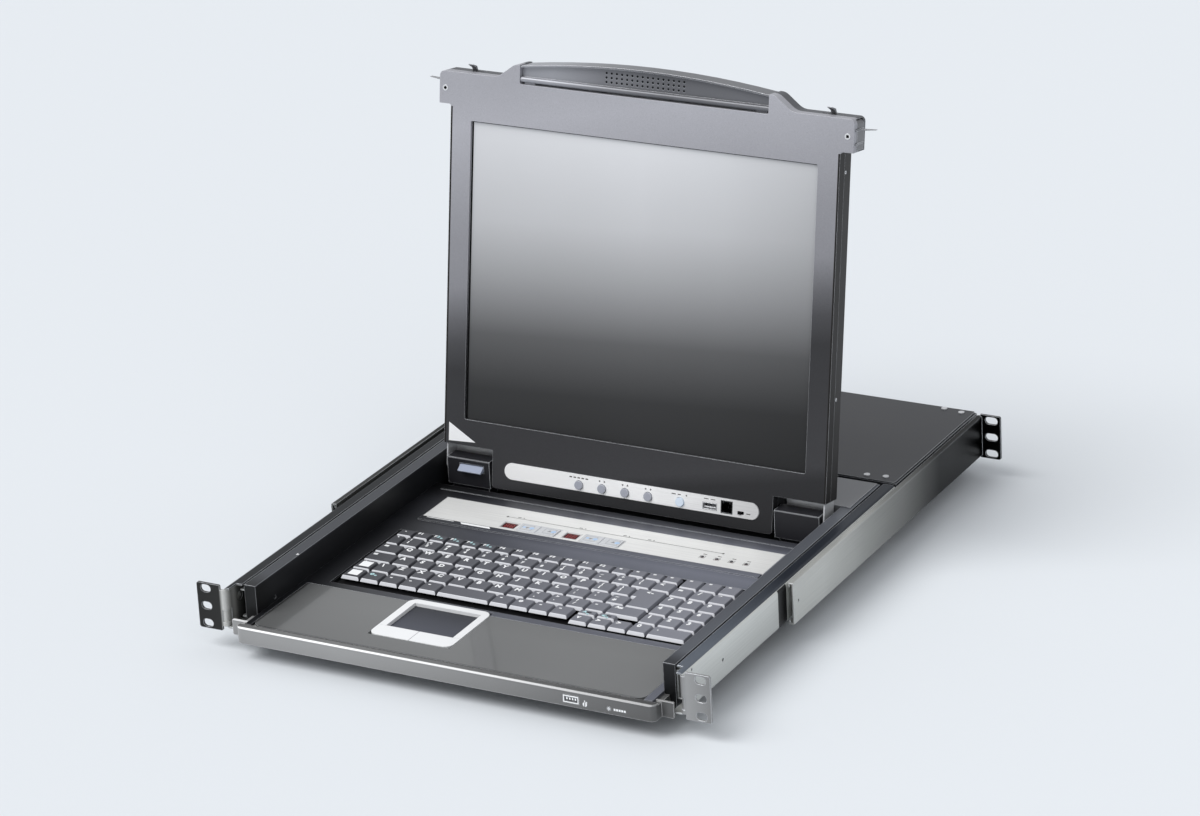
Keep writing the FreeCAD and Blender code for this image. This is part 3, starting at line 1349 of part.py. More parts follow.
inlet_flange = box(
    "inlet_at - inlet_wide / 2 - 2.5", "inlet_at + inlet_wide / 2 + 2.5", "rear_back", "rear_back + 2",
    "-inlet_high / 2 - 3", "inlet_high / 2 + 1")
inlet_body = box(
    "inlet_at - inlet_wide / 2", "inlet_at + inlet_wide / 2", "rear_back - 22", "rear_back + 2",
    "-inlet_high / 2 - 1", "inlet_high / 2 - 1")
inlet_mouth = plate(
    "y", "inlet_at - 12", "inlet_at + 12", "-9.3", "7.3", "rear_back - 15", "rear_back + 3", "3", (2, 3))
inlet_pins = []
for across, up in (("-7", "-3"), ("0", "1"), ("7", "-3")):
    inlet_pins.append(box(
        "inlet_at + %s - 1" % across, "inlet_at + %s + 1" % across, "rear_back - 15.5", "rear_back - 1",
        "%s - 1.8" % up, "%s + 1.8" % up))
keep("power_inlet", fuse(cut(fuse(inlet_flange, inlet_body), inlet_mouth), *inlet_pins))

video_flange = box("-150", "-116", "rear_back - 12", "rear_back + 0.8", "-12.3", "-1.7")
video_mouth = box("-144", "-122", "rear_back - 6", "rear_back + 2", "-11", "-3")
rear_sockets = [cut(video_flange, video_mouth)]
for at in ("-80", "-50"):
    shell = box(
        "%s - usb_wide / 2" % at, "%s + usb_wide / 2" % at, "rear_back - 13", "rear_back + 0.6",
        "-7 - usb_high / 2", "-7 + usb_high / 2")
    mouth = box(
        "%s - usb_wide / 2 + 0.7" % at, "%s + usb_wide / 2 - 0.7" % at, "rear_back - 11", "rear_back + 2",
        "-7 - usb_high / 2 + 0.7", "-7 + usb_high / 2 - 0.7")
    tongue = box("%s - 5.4" % at, "%s + 5.4" % at, "rear_back - 12", "rear_back - 1", "-8.6", "-7.5")
    rear_sockets.append(fuse(cut(shell, mouth), tongue))
net_block = box(
    "-20 - jack_wide / 2", "-20 + jack_wide / 2", "rear_back - 14", "rear_back + 0.6",
    "-7 - jack_high / 2", "-7 + jack_high / 2")
net_mouth = box(
    "-20 - jack_wide / 2 + 0.8", "-20 + jack_wide / 2 - 0.8", "rear_back - 12", "rear_back + 2",
    "-7 - jack_high / 2 + 0.8", "-7 + jack_high / 2 - 2.4")
rear_sockets.append(cut(net_block, net_mouth))
keep("console_ports", group(*rear_sockets))

# Power rocker in the back wall, drawn pressed to one side
switch_outline = [
    ("rocker_switch_at - 9", "rear_back - 3"),
    ("rocker_switch_at + 9", "rear_back - 3"),
    ("rocker_switch_at + 9", "rear_back + 2.6"),
    ("rocker_switch_at", "rear_back + 1.2"),
    ("rocker_switch_at - 9", "rear_back + 0.2"),
]
keep("power_switch", extrusion("z", switch_outline, "-6.9", "4.9"))

doc.recompute()
os.makedirs("parts", exist_ok=True)
for item in doc.Objects:
    if "Invalid" in item.State or "Error" in item.State:
        raise RuntimeError("not built: " + item.Name)
for node, item in nodes.items():
    shape = item.Shape
    if shape.isNull() or not shape.isValid():
        raise RuntimeError("not a sound shape: " + node)
    shape.exportStep("parts/%s.step" % node)
print(len(nodes), "pieces")
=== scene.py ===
import bpy
import bmesh
import math
from mathutils import Matrix, Vector


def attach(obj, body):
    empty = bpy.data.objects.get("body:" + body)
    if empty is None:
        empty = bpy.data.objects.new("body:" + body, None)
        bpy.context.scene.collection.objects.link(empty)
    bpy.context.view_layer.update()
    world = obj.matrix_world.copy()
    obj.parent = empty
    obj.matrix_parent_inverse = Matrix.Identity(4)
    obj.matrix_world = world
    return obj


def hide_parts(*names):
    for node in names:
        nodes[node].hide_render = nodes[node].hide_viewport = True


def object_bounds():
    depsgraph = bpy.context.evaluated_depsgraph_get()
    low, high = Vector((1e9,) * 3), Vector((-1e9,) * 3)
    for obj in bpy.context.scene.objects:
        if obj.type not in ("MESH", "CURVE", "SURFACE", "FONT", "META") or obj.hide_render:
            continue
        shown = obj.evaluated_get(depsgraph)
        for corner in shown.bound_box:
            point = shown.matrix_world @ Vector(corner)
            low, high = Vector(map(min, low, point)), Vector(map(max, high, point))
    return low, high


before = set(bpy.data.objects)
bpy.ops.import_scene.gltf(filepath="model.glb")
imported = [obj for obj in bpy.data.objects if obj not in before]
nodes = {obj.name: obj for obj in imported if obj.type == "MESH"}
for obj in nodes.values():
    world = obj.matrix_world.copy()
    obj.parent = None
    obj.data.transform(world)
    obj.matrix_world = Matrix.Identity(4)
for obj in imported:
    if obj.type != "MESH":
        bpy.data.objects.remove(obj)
cadLow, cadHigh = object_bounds()
print("frame loaded:", len(nodes), "nodes")

mm = 0.001


# small helpers

def linear(r, g, b):
    # a colour read on screen, 0 to 255, as the shaders want it
    out = []
    for c in (r, g, b):
        c = c / 255
        out.append(c / 12.92 if c <= 0.04045 else ((c + 0.055) / 1.055) ** 2.4)
    return tuple(out) + (1.0,)


head = {"lean": 9.41, "hingeY": 333, "hingeZ": 11, "hingeDepth": 12, "hingeUp": 13.14}
lean = math.radians(head["lean"])
headY = head["hingeY"] - head["hingeUp"] * math.sin(lean) - head["hingeDepth"] * math.cos(lean)
headZ = head["hingeZ"] - head["hingeUp"] * math.cos(lean) + head["hingeDepth"] * math.sin(lean)
headMatrix = Matrix.Translation((0, headY * mm, headZ * mm)) @ Matrix.Rotation(-lean, 4, "X")


def reach(node, onHead=False):
    # a solid's low and high corner in mm, on the head in the head's own axes
    turn = headMatrix.inverted() if onHead else Matrix.Identity(4)
    spots = [turn @ v.co / mm for v in nodes[node].data.vertices]
    return [[round(pick(spot[i] for spot in spots), 3) for i in range(3)] for pick in (min, max)]


def settle(name, mesh, body, onHead=False):
    # an object at the origin, its place in its mesh, riding on a body
    if onHead:
        mesh.transform(headMatrix)
    piece = bpy.data.objects.new(name, mesh)
    mesh.name = name
    bpy.context.scene.collection.objects.link(piece)
    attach(piece, body)
    return piece


def dress(mesh, finish):
    mesh.materials.clear()
    mesh.materials.append(finishes[finish])


def fromBmesh(bm, scale=mm):
    bmesh.ops.recalc_face_normals(bm, faces=bm.faces)
    mesh = bpy.data.meshes.new("piece")
    bm.to_mesh(mesh)
    bm.free()
    mesh.transform(Matrix.Scale(scale, 4))
    return mesh


def axisSpot(way, a, b, along):
    # one coordinate along the named axis, the other two in order
    return Vector({"x": (along, a, b), "y": (a, along, b), "z": (a, b, along)}[way])


def addBlock(bm, low, high):
    # a block between two corners
    for v in bmesh.ops.create_cube(bm, size=1.0)["verts"]:
        v.co = Vector([low[i] + (high[i] - low[i]) * (v.co[i] + 0.5) for i in range(3)])


def addDisc(bm, centre, radius, way, start, end, sides):
    # a round bar along one axis
    made = bmesh.ops.create_cone(
        bm, cap_ends=True, segments=sides, radius1=radius, radius2=radius, depth=1.0)["verts"]
    for v in made:
        along = start + (end - start) * (v.co.z + 0.5)
        v.co = axisSpot(way, v.co.x + centre[0], v.co.y + centre[1], along)


def addStrip(bm, points, way, level):
    # a flat outline at one level across an axis
    return bm.faces.new([bm.verts.new(axisSpot(way, a, b, level)) for a, b in points])


def signMesh(sign, bold):
    # a letter, digit or sign as flat faces, about one unit high
    curve = bpy.data.curves.new("sign", "FONT")
    curve.body = sign
    curve.align_x = "CENTER"
    curve.align_y = "CENTER"
    curve.resolution_u = 2
    curve.offset = bold
    holder = bpy.data.objects.new("sign", curve)
    bpy.context.scene.collection.objects.link(holder)
    bpy.context.view_layer.update()
    mesh = bpy.data.meshes.new_from_object(holder.evaluated_get(bpy.context.evaluated_depsgraph_get()))
    bpy.data.objects.remove(holder)
    bpy.data.curves.remove(curve)
    return mesh


def joinMeshes(meshes):
    bm = bmesh.new()
    for mesh in meshes:
        bm.from_mesh(mesh)
        bpy.data.meshes.remove(mesh)
    out = bpy.data.meshes.new("joined")
    bm.to_mesh(out)
    bm.free()
    return out


# camera and light

view = {"spot": (1.71699, -2.77359, 1.53729), "turn": (67.7542, 2.8431, 28.2214), "lens": 132.557}
cameraData = bpy.data.cameras.new("camera")
cameraData.lens = view["lens"]
cameraData.sensor_width = 36
cameraData.clip_end = 60
camera = bpy.data.objects.new("camera", cameraData)
camera.location = view["spot"]
camera.rotation_euler = [math.radians(a) for a in view["turn"]]
bpy.context.scene.collection.objects.link(camera)
bpy.context.scene.camera = camera

studio = {
    "sky": linear(238, 240, 243), "skyStrength": 0.66, "floor": linear(226, 230, 234), "floorDrop": 0.016,
    "sunFrom": (-0.5, -0.55, 1.0), "sunStrength": 1.9, "sunWide": 40,
    "sideSpot": (2.6, -1.6, 1.6), "sidePower": 4, "sideSize": 1.4,
}
world = bpy.data.worlds.new("studio")
bpy.context.scene.world = world
world.use_nodes = True
world.node_tree.nodes["Background"].inputs["Color"].default_value = studio["sky"]
world.node_tree.nodes["Background"].inputs["Strength"].default_value = studio["skyStrength"]
bpy.context.scene.view_settings.view_transform = "Standard"


def placeLight(name, kind, spot, aim, power, wide):
    data = bpy.data.lights.new(name, kind)
    data.energy = power
    if kind == "SUN":
        data.angle = math.radians(wide)
    else:
        data.size = wide
    lamp = bpy.data.objects.new(name, data)
    lamp.location = spot
    lamp.rotation_euler = (Vector(aim) - Vector(spot)).to_track_quat("-Z", "Y").to_euler()
    bpy.context.scene.collection.objects.link(lamp)


placeLight("softSun", "SUN", studio["sunFrom"], (0, 0, 0), studio["sunStrength"], studio["sunWide"])
placeLight("sideLight", "AREA", studio["sideSpot"], (0, 0.25, 0.1), studio["sidePower"], studio["sideSize"])

bm = bmesh.new()
addStrip(bm, [(-14, -14), (14, -14), (14, 14), (-14, 14)], "z", cadLow.z - studio["floorDrop"])
floorMesh = fromBmesh(bm, 1.0)
floor = bpy.data.objects.new("floor", floorMesh)
bpy.context.scene.collection.objects.link(floor)
print("camera and light set")


# shader groups shared by the finishes

def newGroup(name, ins, outs):
    tree = bpy.data.node_groups.new(name, "ShaderNodeTree")
    for label, kind, value in ins:
        socket = tree.interface.new_socket(label, in_out="INPUT", socket_type=kind)
        if value is not None:
            socket.default_value = value
    for label, kind in outs:
        tree.interface.new_socket(label, in_out="OUTPUT", socket_type=kind)
    return tree, tree.nodes.new("NodeGroupInput"), tree.nodes.new("NodeGroupOutput")


def math2(tree, what, a, b=None, clamp=False):
    node = tree.nodes.new("ShaderNodeMath")
    node.operation = what
    node.use_clamp = clamp
    for socket, value in zip(node.inputs, (a, b)):
        if isinstance(value, (int, float)):
            socket.default_value = value
        elif value is not None:
            tree.links.new(value, socket)
    return node.outputs[0]


def swing(tree, noise, depth):
    # a noise about its middle, times its depth
    return math2(tree, "MULTIPLY", math2(tree, "SUBTRACT", noise, 0.5), depth)


def mixColour(tree, share, a, b, how="MIX"):
    node = tree.nodes.new("ShaderNodeMix")
    node.data_type = "RGBA"
    node.blend_type = how
    for socket, value in ((node.inputs[0], share), (node.inputs[6], a), (node.inputs[7], b)):
        if isinstance(value, (int, float, tuple)):
            socket.default_value = value
        else:
            tree.links.new(value, socket)
    return node.outputs[2]


# patches: slow drift of tone with fine speckle, and a matching roughness
patchTree, gin, gout = newGroup(
    "patches",
    [("Vector", "NodeSocketVector", None), ("Colour", "NodeSocketColor", (0.5, 0.5, 0.5, 1)),
     ("Drift", "NodeSocketFloat", 0.1), ("Drift Scale", "NodeSocketFloat", 12.0),
     ("Speckle", "NodeSocketFloat", 0.1), ("Speckle Scale", "NodeSocketFloat", 900.0),
     ("Roughness", "NodeSocketFloat", 0.5), ("Rough Drift", "NodeSocketFloat", 0.08)],
    [("Colour", "NodeSocketColor"), ("Roughness", "NodeSocketFloat"), ("Height", "NodeSocketFloat")])
slow = patchTree.nodes.new("ShaderNodeTexNoise")
fine = patchTree.nodes.new("ShaderNodeTexNoise")
slow.inputs["Detail"].default_value = 4
fine.inputs["Detail"].default_value = 2
for noise, scale in ((slow, "Drift Scale"), (fine, "Speckle Scale")):
    patchTree.links.new(gin.outputs["Vector"], noise.inputs["Vector"])
    patchTree.links.new(gin.outputs[scale], noise.inputs["Scale"])
slowShift = swing(patchTree, slow.outputs[0], gin.outputs["Drift"])
fineShift = swing(patchTree, fine.outputs[0], gin.outputs["Speckle"])
gain = math2(patchTree, "ADD", 1.0, math2(patchTree, "ADD", slowShift, fineShift))
scaled = patchTree.nodes.new("ShaderNodeVectorMath")
scaled.operation = "SCALE"
patchTree.links.new(gin.outputs["Colour"], scaled.inputs[0])
patchTree.links.new(gain, scaled.inputs["Scale"])
patchTree.links.new(scaled.outputs[0], gout.inputs["Colour"])
roughShift = swing(patchTree, slow.outputs[0], gin.outputs["Rough Drift"])
roughNow = math2(patchTree, "ADD", gin.outputs["Roughness"], roughShift, clamp=True)
patchTree.links.new(roughNow, gout.inputs["Roughness"])
patchTree.links.new(fine.outputs[0], gout.inputs["Height"])

# painted edge highlights: where a rounded normal leaves the true one, broken up by noise
edgeTree, gin, gout = newGroup(
    "wornEdges",
    [("Vector", "NodeSocketVector", None), ("Radius", "NodeSocketFloat", 0.0006), ("Gain", "NodeSocketFloat", 4.0)],
    [("Mask", "NodeSocketFloat"), ("Normal", "NodeSocketVector")])
bevel = edgeTree.nodes.new("ShaderNodeBevel")
bevel.samples = 4
edgeTree.links.new(gin.outputs["Radius"], bevel.inputs["Radius"])
geometry = edgeTree.nodes.new("ShaderNodeNewGeometry")
dot = edgeTree.nodes.new("ShaderNodeVectorMath")
dot.operation = "DOT_PRODUCT"
edgeTree.links.new(bevel.outputs[0], dot.inputs[0])
edgeTree.links.new(geometry.outputs["True Normal"], dot.inputs[1])
breakUp = edgeTree.nodes.new("ShaderNodeTexNoise")
breakUp.inputs["Scale"].default_value = 60
edgeTree.links.new(gin.outputs["Vector"], breakUp.inputs["Vector"])
away = math2(edgeTree, "SUBTRACT", 1.0, dot.outputs["Value"], clamp=True)
broken = math2(edgeTree, "ADD", 0.55, math2(edgeTree, "MULTIPLY", breakUp.outputs[0], 0.9))
broken = math2(edgeTree, "MULTIPLY", away, broken)
edgeTree.links.new(math2(edgeTree, "MULTIPLY", broken, gin.outputs["Gain"], clamp=True), gout.inputs["Mask"])
edgeTree.links.new(bevel.outputs[0], gout.inputs["Normal"])

# brushed lines: streaks stretched along one axis
brushTree, gin, gout = newGroup(
    "brushedLines",
    [("Vector", "NodeSocketVector", None), ("Stretch", "NodeSocketVector", (20.0, 1200.0, 1200.0))],
    [("Streak", "NodeSocketFloat")])
pulled = brushTree.nodes.new("ShaderNodeVectorMath")
pulled.operation = "MULTIPLY"
brushTree.links.new(gin.outputs["Vector"], pulled.inputs[0])
brushTree.links.new(gin.outputs["Stretch"], pulled.inputs[1])
streak = brushTree.nodes.new("ShaderNodeTexNoise")
streak.inputs["Scale"].default_value = 1
streak.inputs["Detail"].default_value = 3
brushTree.links.new(pulled.outputs[0], streak.inputs["Vector"])
brushTree.links.new(streak.outputs[0], gout.inputs["Streak"])


def paintShadeAlong(tree, place, colour, way, stops):
    # the tone changes along a direction, place by place: painted light and shade in the colour
    along = tree.nodes.new("ShaderNodeVectorMath")
    along.operation = "DOT_PRODUCT"
    tree.links.new(place, along.inputs[0])
    along.inputs[1].default_value = way
    start, end = stops[0][0], stops[-1][0]
    span = tree.nodes.new("ShaderNodeMapRange")
    tree.links.new(along.outputs["Value"], span.inputs["Value"])
    span.inputs["From Min"].default_value = start
    span.inputs["From Max"].default_value = end
    ramp = tree.nodes.new("ShaderNodeValToRGB")
    elements = ramp.color_ramp.elements
    most = max(gain for where, gain in stops)
    for i, (where, gain) in enumerate(stops):
        spot = (where - start) / (end - start)
        element = elements[0] if i == 0 else elements[-1] if i == len(stops) - 1 else elements.new(spot)
        element.position = spot
        element.color = (gain / most, gain / most, gain / most, 1)
    tree.links.new(span.outputs[0], ramp.inputs[0])
    eased = tree.nodes.new("ShaderNodeVectorMath")
    eased.operation = "SCALE"
    eased.inputs["Scale"].default_value = most
    tree.links.new(ramp.outputs[0], eased.inputs[0])
    return mixColour(tree, 1.0, colour, eased.outputs[0], "MULTIPLY")


def tintZone(tree, place, colour, second, spans):
    # another colour between two places on each named axis
    split = tree.nodes.new("ShaderNodeSeparateXYZ")
    tree.links.new(place, split.inputs[0])
    inside = 1.0
    for axis, low, high, *soft in spans:
        value = math2(tree, "ABSOLUTE", split.outputs[0]) if axis == "either side" else split.outputs[axis]
        within = math2(tree, "GREATER_THAN", value, low)
        if soft:  # it comes in slowly over this length
            rise = math2(tree, "DIVIDE", math2(tree, "SUBTRACT", value, low), soft[0])
            within = math2(tree, "MINIMUM", math2(tree, "MAXIMUM", rise, 0.0), 1.0)
        inside = math2(tree, "MULTIPLY", inside, within)
        inside = math2(tree, "MULTIPLY", inside, math2(tree, "LESS_THAN", value, high))
    return mixColour(tree, inside, colour, second)


def makeFinish(name, look):
    # one material from plain words; what a look leaves out keeps its usual value
    material = bpy.data.materials.new(name)
    material.use_nodes = True
    tree = material.node_tree
    shader = tree.nodes["Principled BSDF"]
    place = tree.nodes.new("ShaderNodeTexCoord").outputs["Object"]
    patches = tree.nodes.new("ShaderNodeGroup")
    patches.node_tree = patchTree
    tree.links.new(place, patches.inputs["Vector"])
    patches.inputs["Colour"].default_value = look["colour"]
    for label, word, usual in (("Drift", "drift", 0.12), ("Drift Scale", "driftScale", 14),
                               ("Speckle", "speckle", 0.12), ("Speckle Scale", "speckleScale", 1400),
                               ("Roughness", "rough", 0.5)):
        patches.inputs[label].default_value = look.get(word, usual)
    patches.inputs["Rough Drift"].default_value = 0.1
    colour = patches.outputs["Colour"]
    for way, stops in look.get("fades", ()):
        colour = paintShadeAlong(tree, place, colour, way, stops)
    for second, spans in look.get("zones", ()):
        colour = tintZone(tree, place, colour, second, spans)
    if "brushed" in look:
        lines = tree.nodes.new("ShaderNodeGroup")
        lines.node_tree = brushTree
        tree.links.new(place, lines.inputs["Vector"])
        lines.inputs["Stretch"].default_value = look["brushed"]
        tint = math2(tree, "ADD", 0.86, math2(tree, "MULTIPLY", lines.outputs[0], 0.28))
        toned = tree.nodes.new("ShaderNodeVectorMath")
        toned.operation = "SCALE"
        tree.links.new(colour, toned.inputs[0])
        tree.links.new(tint, toned.inputs["Scale"])
        colour = toned.outputs[0]
    normal = None
    # painted highlight along the edges, in the look's edge colour
    if "edge" in look:
        worn = tree.nodes.new("ShaderNodeGroup")
        worn.node_tree = edgeTree
        tree.links.new(place, worn.inputs["Vector"])
        worn.inputs["Radius"].default_value = look.get("edgeWide", 0.0005)
        worn.inputs["Gain"].default_value = look["edge"]
        colour = mixColour(tree, worn.outputs["Mask"], colour, look.get("edgeColour", linear(225, 228, 232)))
        normal = worn.outputs["Normal"]
    tree.links.new(colour, shader.inputs["Base Color"])
    tree.links.new(patches.outputs["Roughness"], shader.inputs["Roughness"])
    bump = tree.nodes.new("ShaderNodeBump")
    bump.inputs["Strength"].default_value = look.get("grain", 0.15)
    bump.inputs["Distance"].default_value = 0.0002
    tree.links.new(patches.outputs["Height"], bump.inputs["Height"])
    if normal:
        tree.links.new(normal, bump.inputs["Normal"])
    tree.links.new(bump.outputs[0], shader.inputs["Normal"])
    shader.inputs["Metallic"].default_value = look.get("metal", 0.0)
    shader.inputs["Specular IOR Level"].default_value = look.get("shine", 0.5)
    if "coat" in look:
        shader.inputs["Coat Weight"].default_value = look["coat"]
        shader.inputs["Coat Roughness"].default_value = look.get("coatRough", 0.05)
    if "glow" in look:
        shader.inputs["Emission Color"].default_value = look["glow"]
        shader.inputs["Emission Strength"].default_value = look["glowStrength"]
    return material


up = (0.0, 0.0, 1.0)
across = (1.0, 0.0, 0.0)
back = (0.0, 1.0, 0.0)
lightFall = (-0.2, 0.0, 1.0)  # the way the light falls off down the screen's frame
# the way the painted reflection fades down the screen glass
glassSheenFall = (-0.06, 0.0, 1.0)
# painted shade: the head's sides below the ears near black
paintedSideShade = (linear(28, 25, 24), (("either side", 0.1862, 0.1885), (2, -0.01, 0.328)))
# painted shade and sheen on the palm rest: dark beyond its side and front edges, lighter towards the right and back
palmEdge = {"left": -0.1845, "right": 0.187, "front": -0.0048, "blur": 0.0006}
palmShadeAcross = ((-0.20, 0.25), (palmEdge["left"], 0.25), (palmEdge["left"] + palmEdge["blur"], 0.82), (-0.05, 0.97),
             (0.1, 1.12), (palmEdge["right"], 1.1), (palmEdge["right"] + palmEdge["blur"], 0.5), (0.2, 0.5))
palmShadeBack = ((-0.013, 0.36), (palmEdge["front"], 0.4), (palmEdge["front"] + palmEdge["blur"], 0.82), (0.02, 0.88),
             (0.06, 1.0))
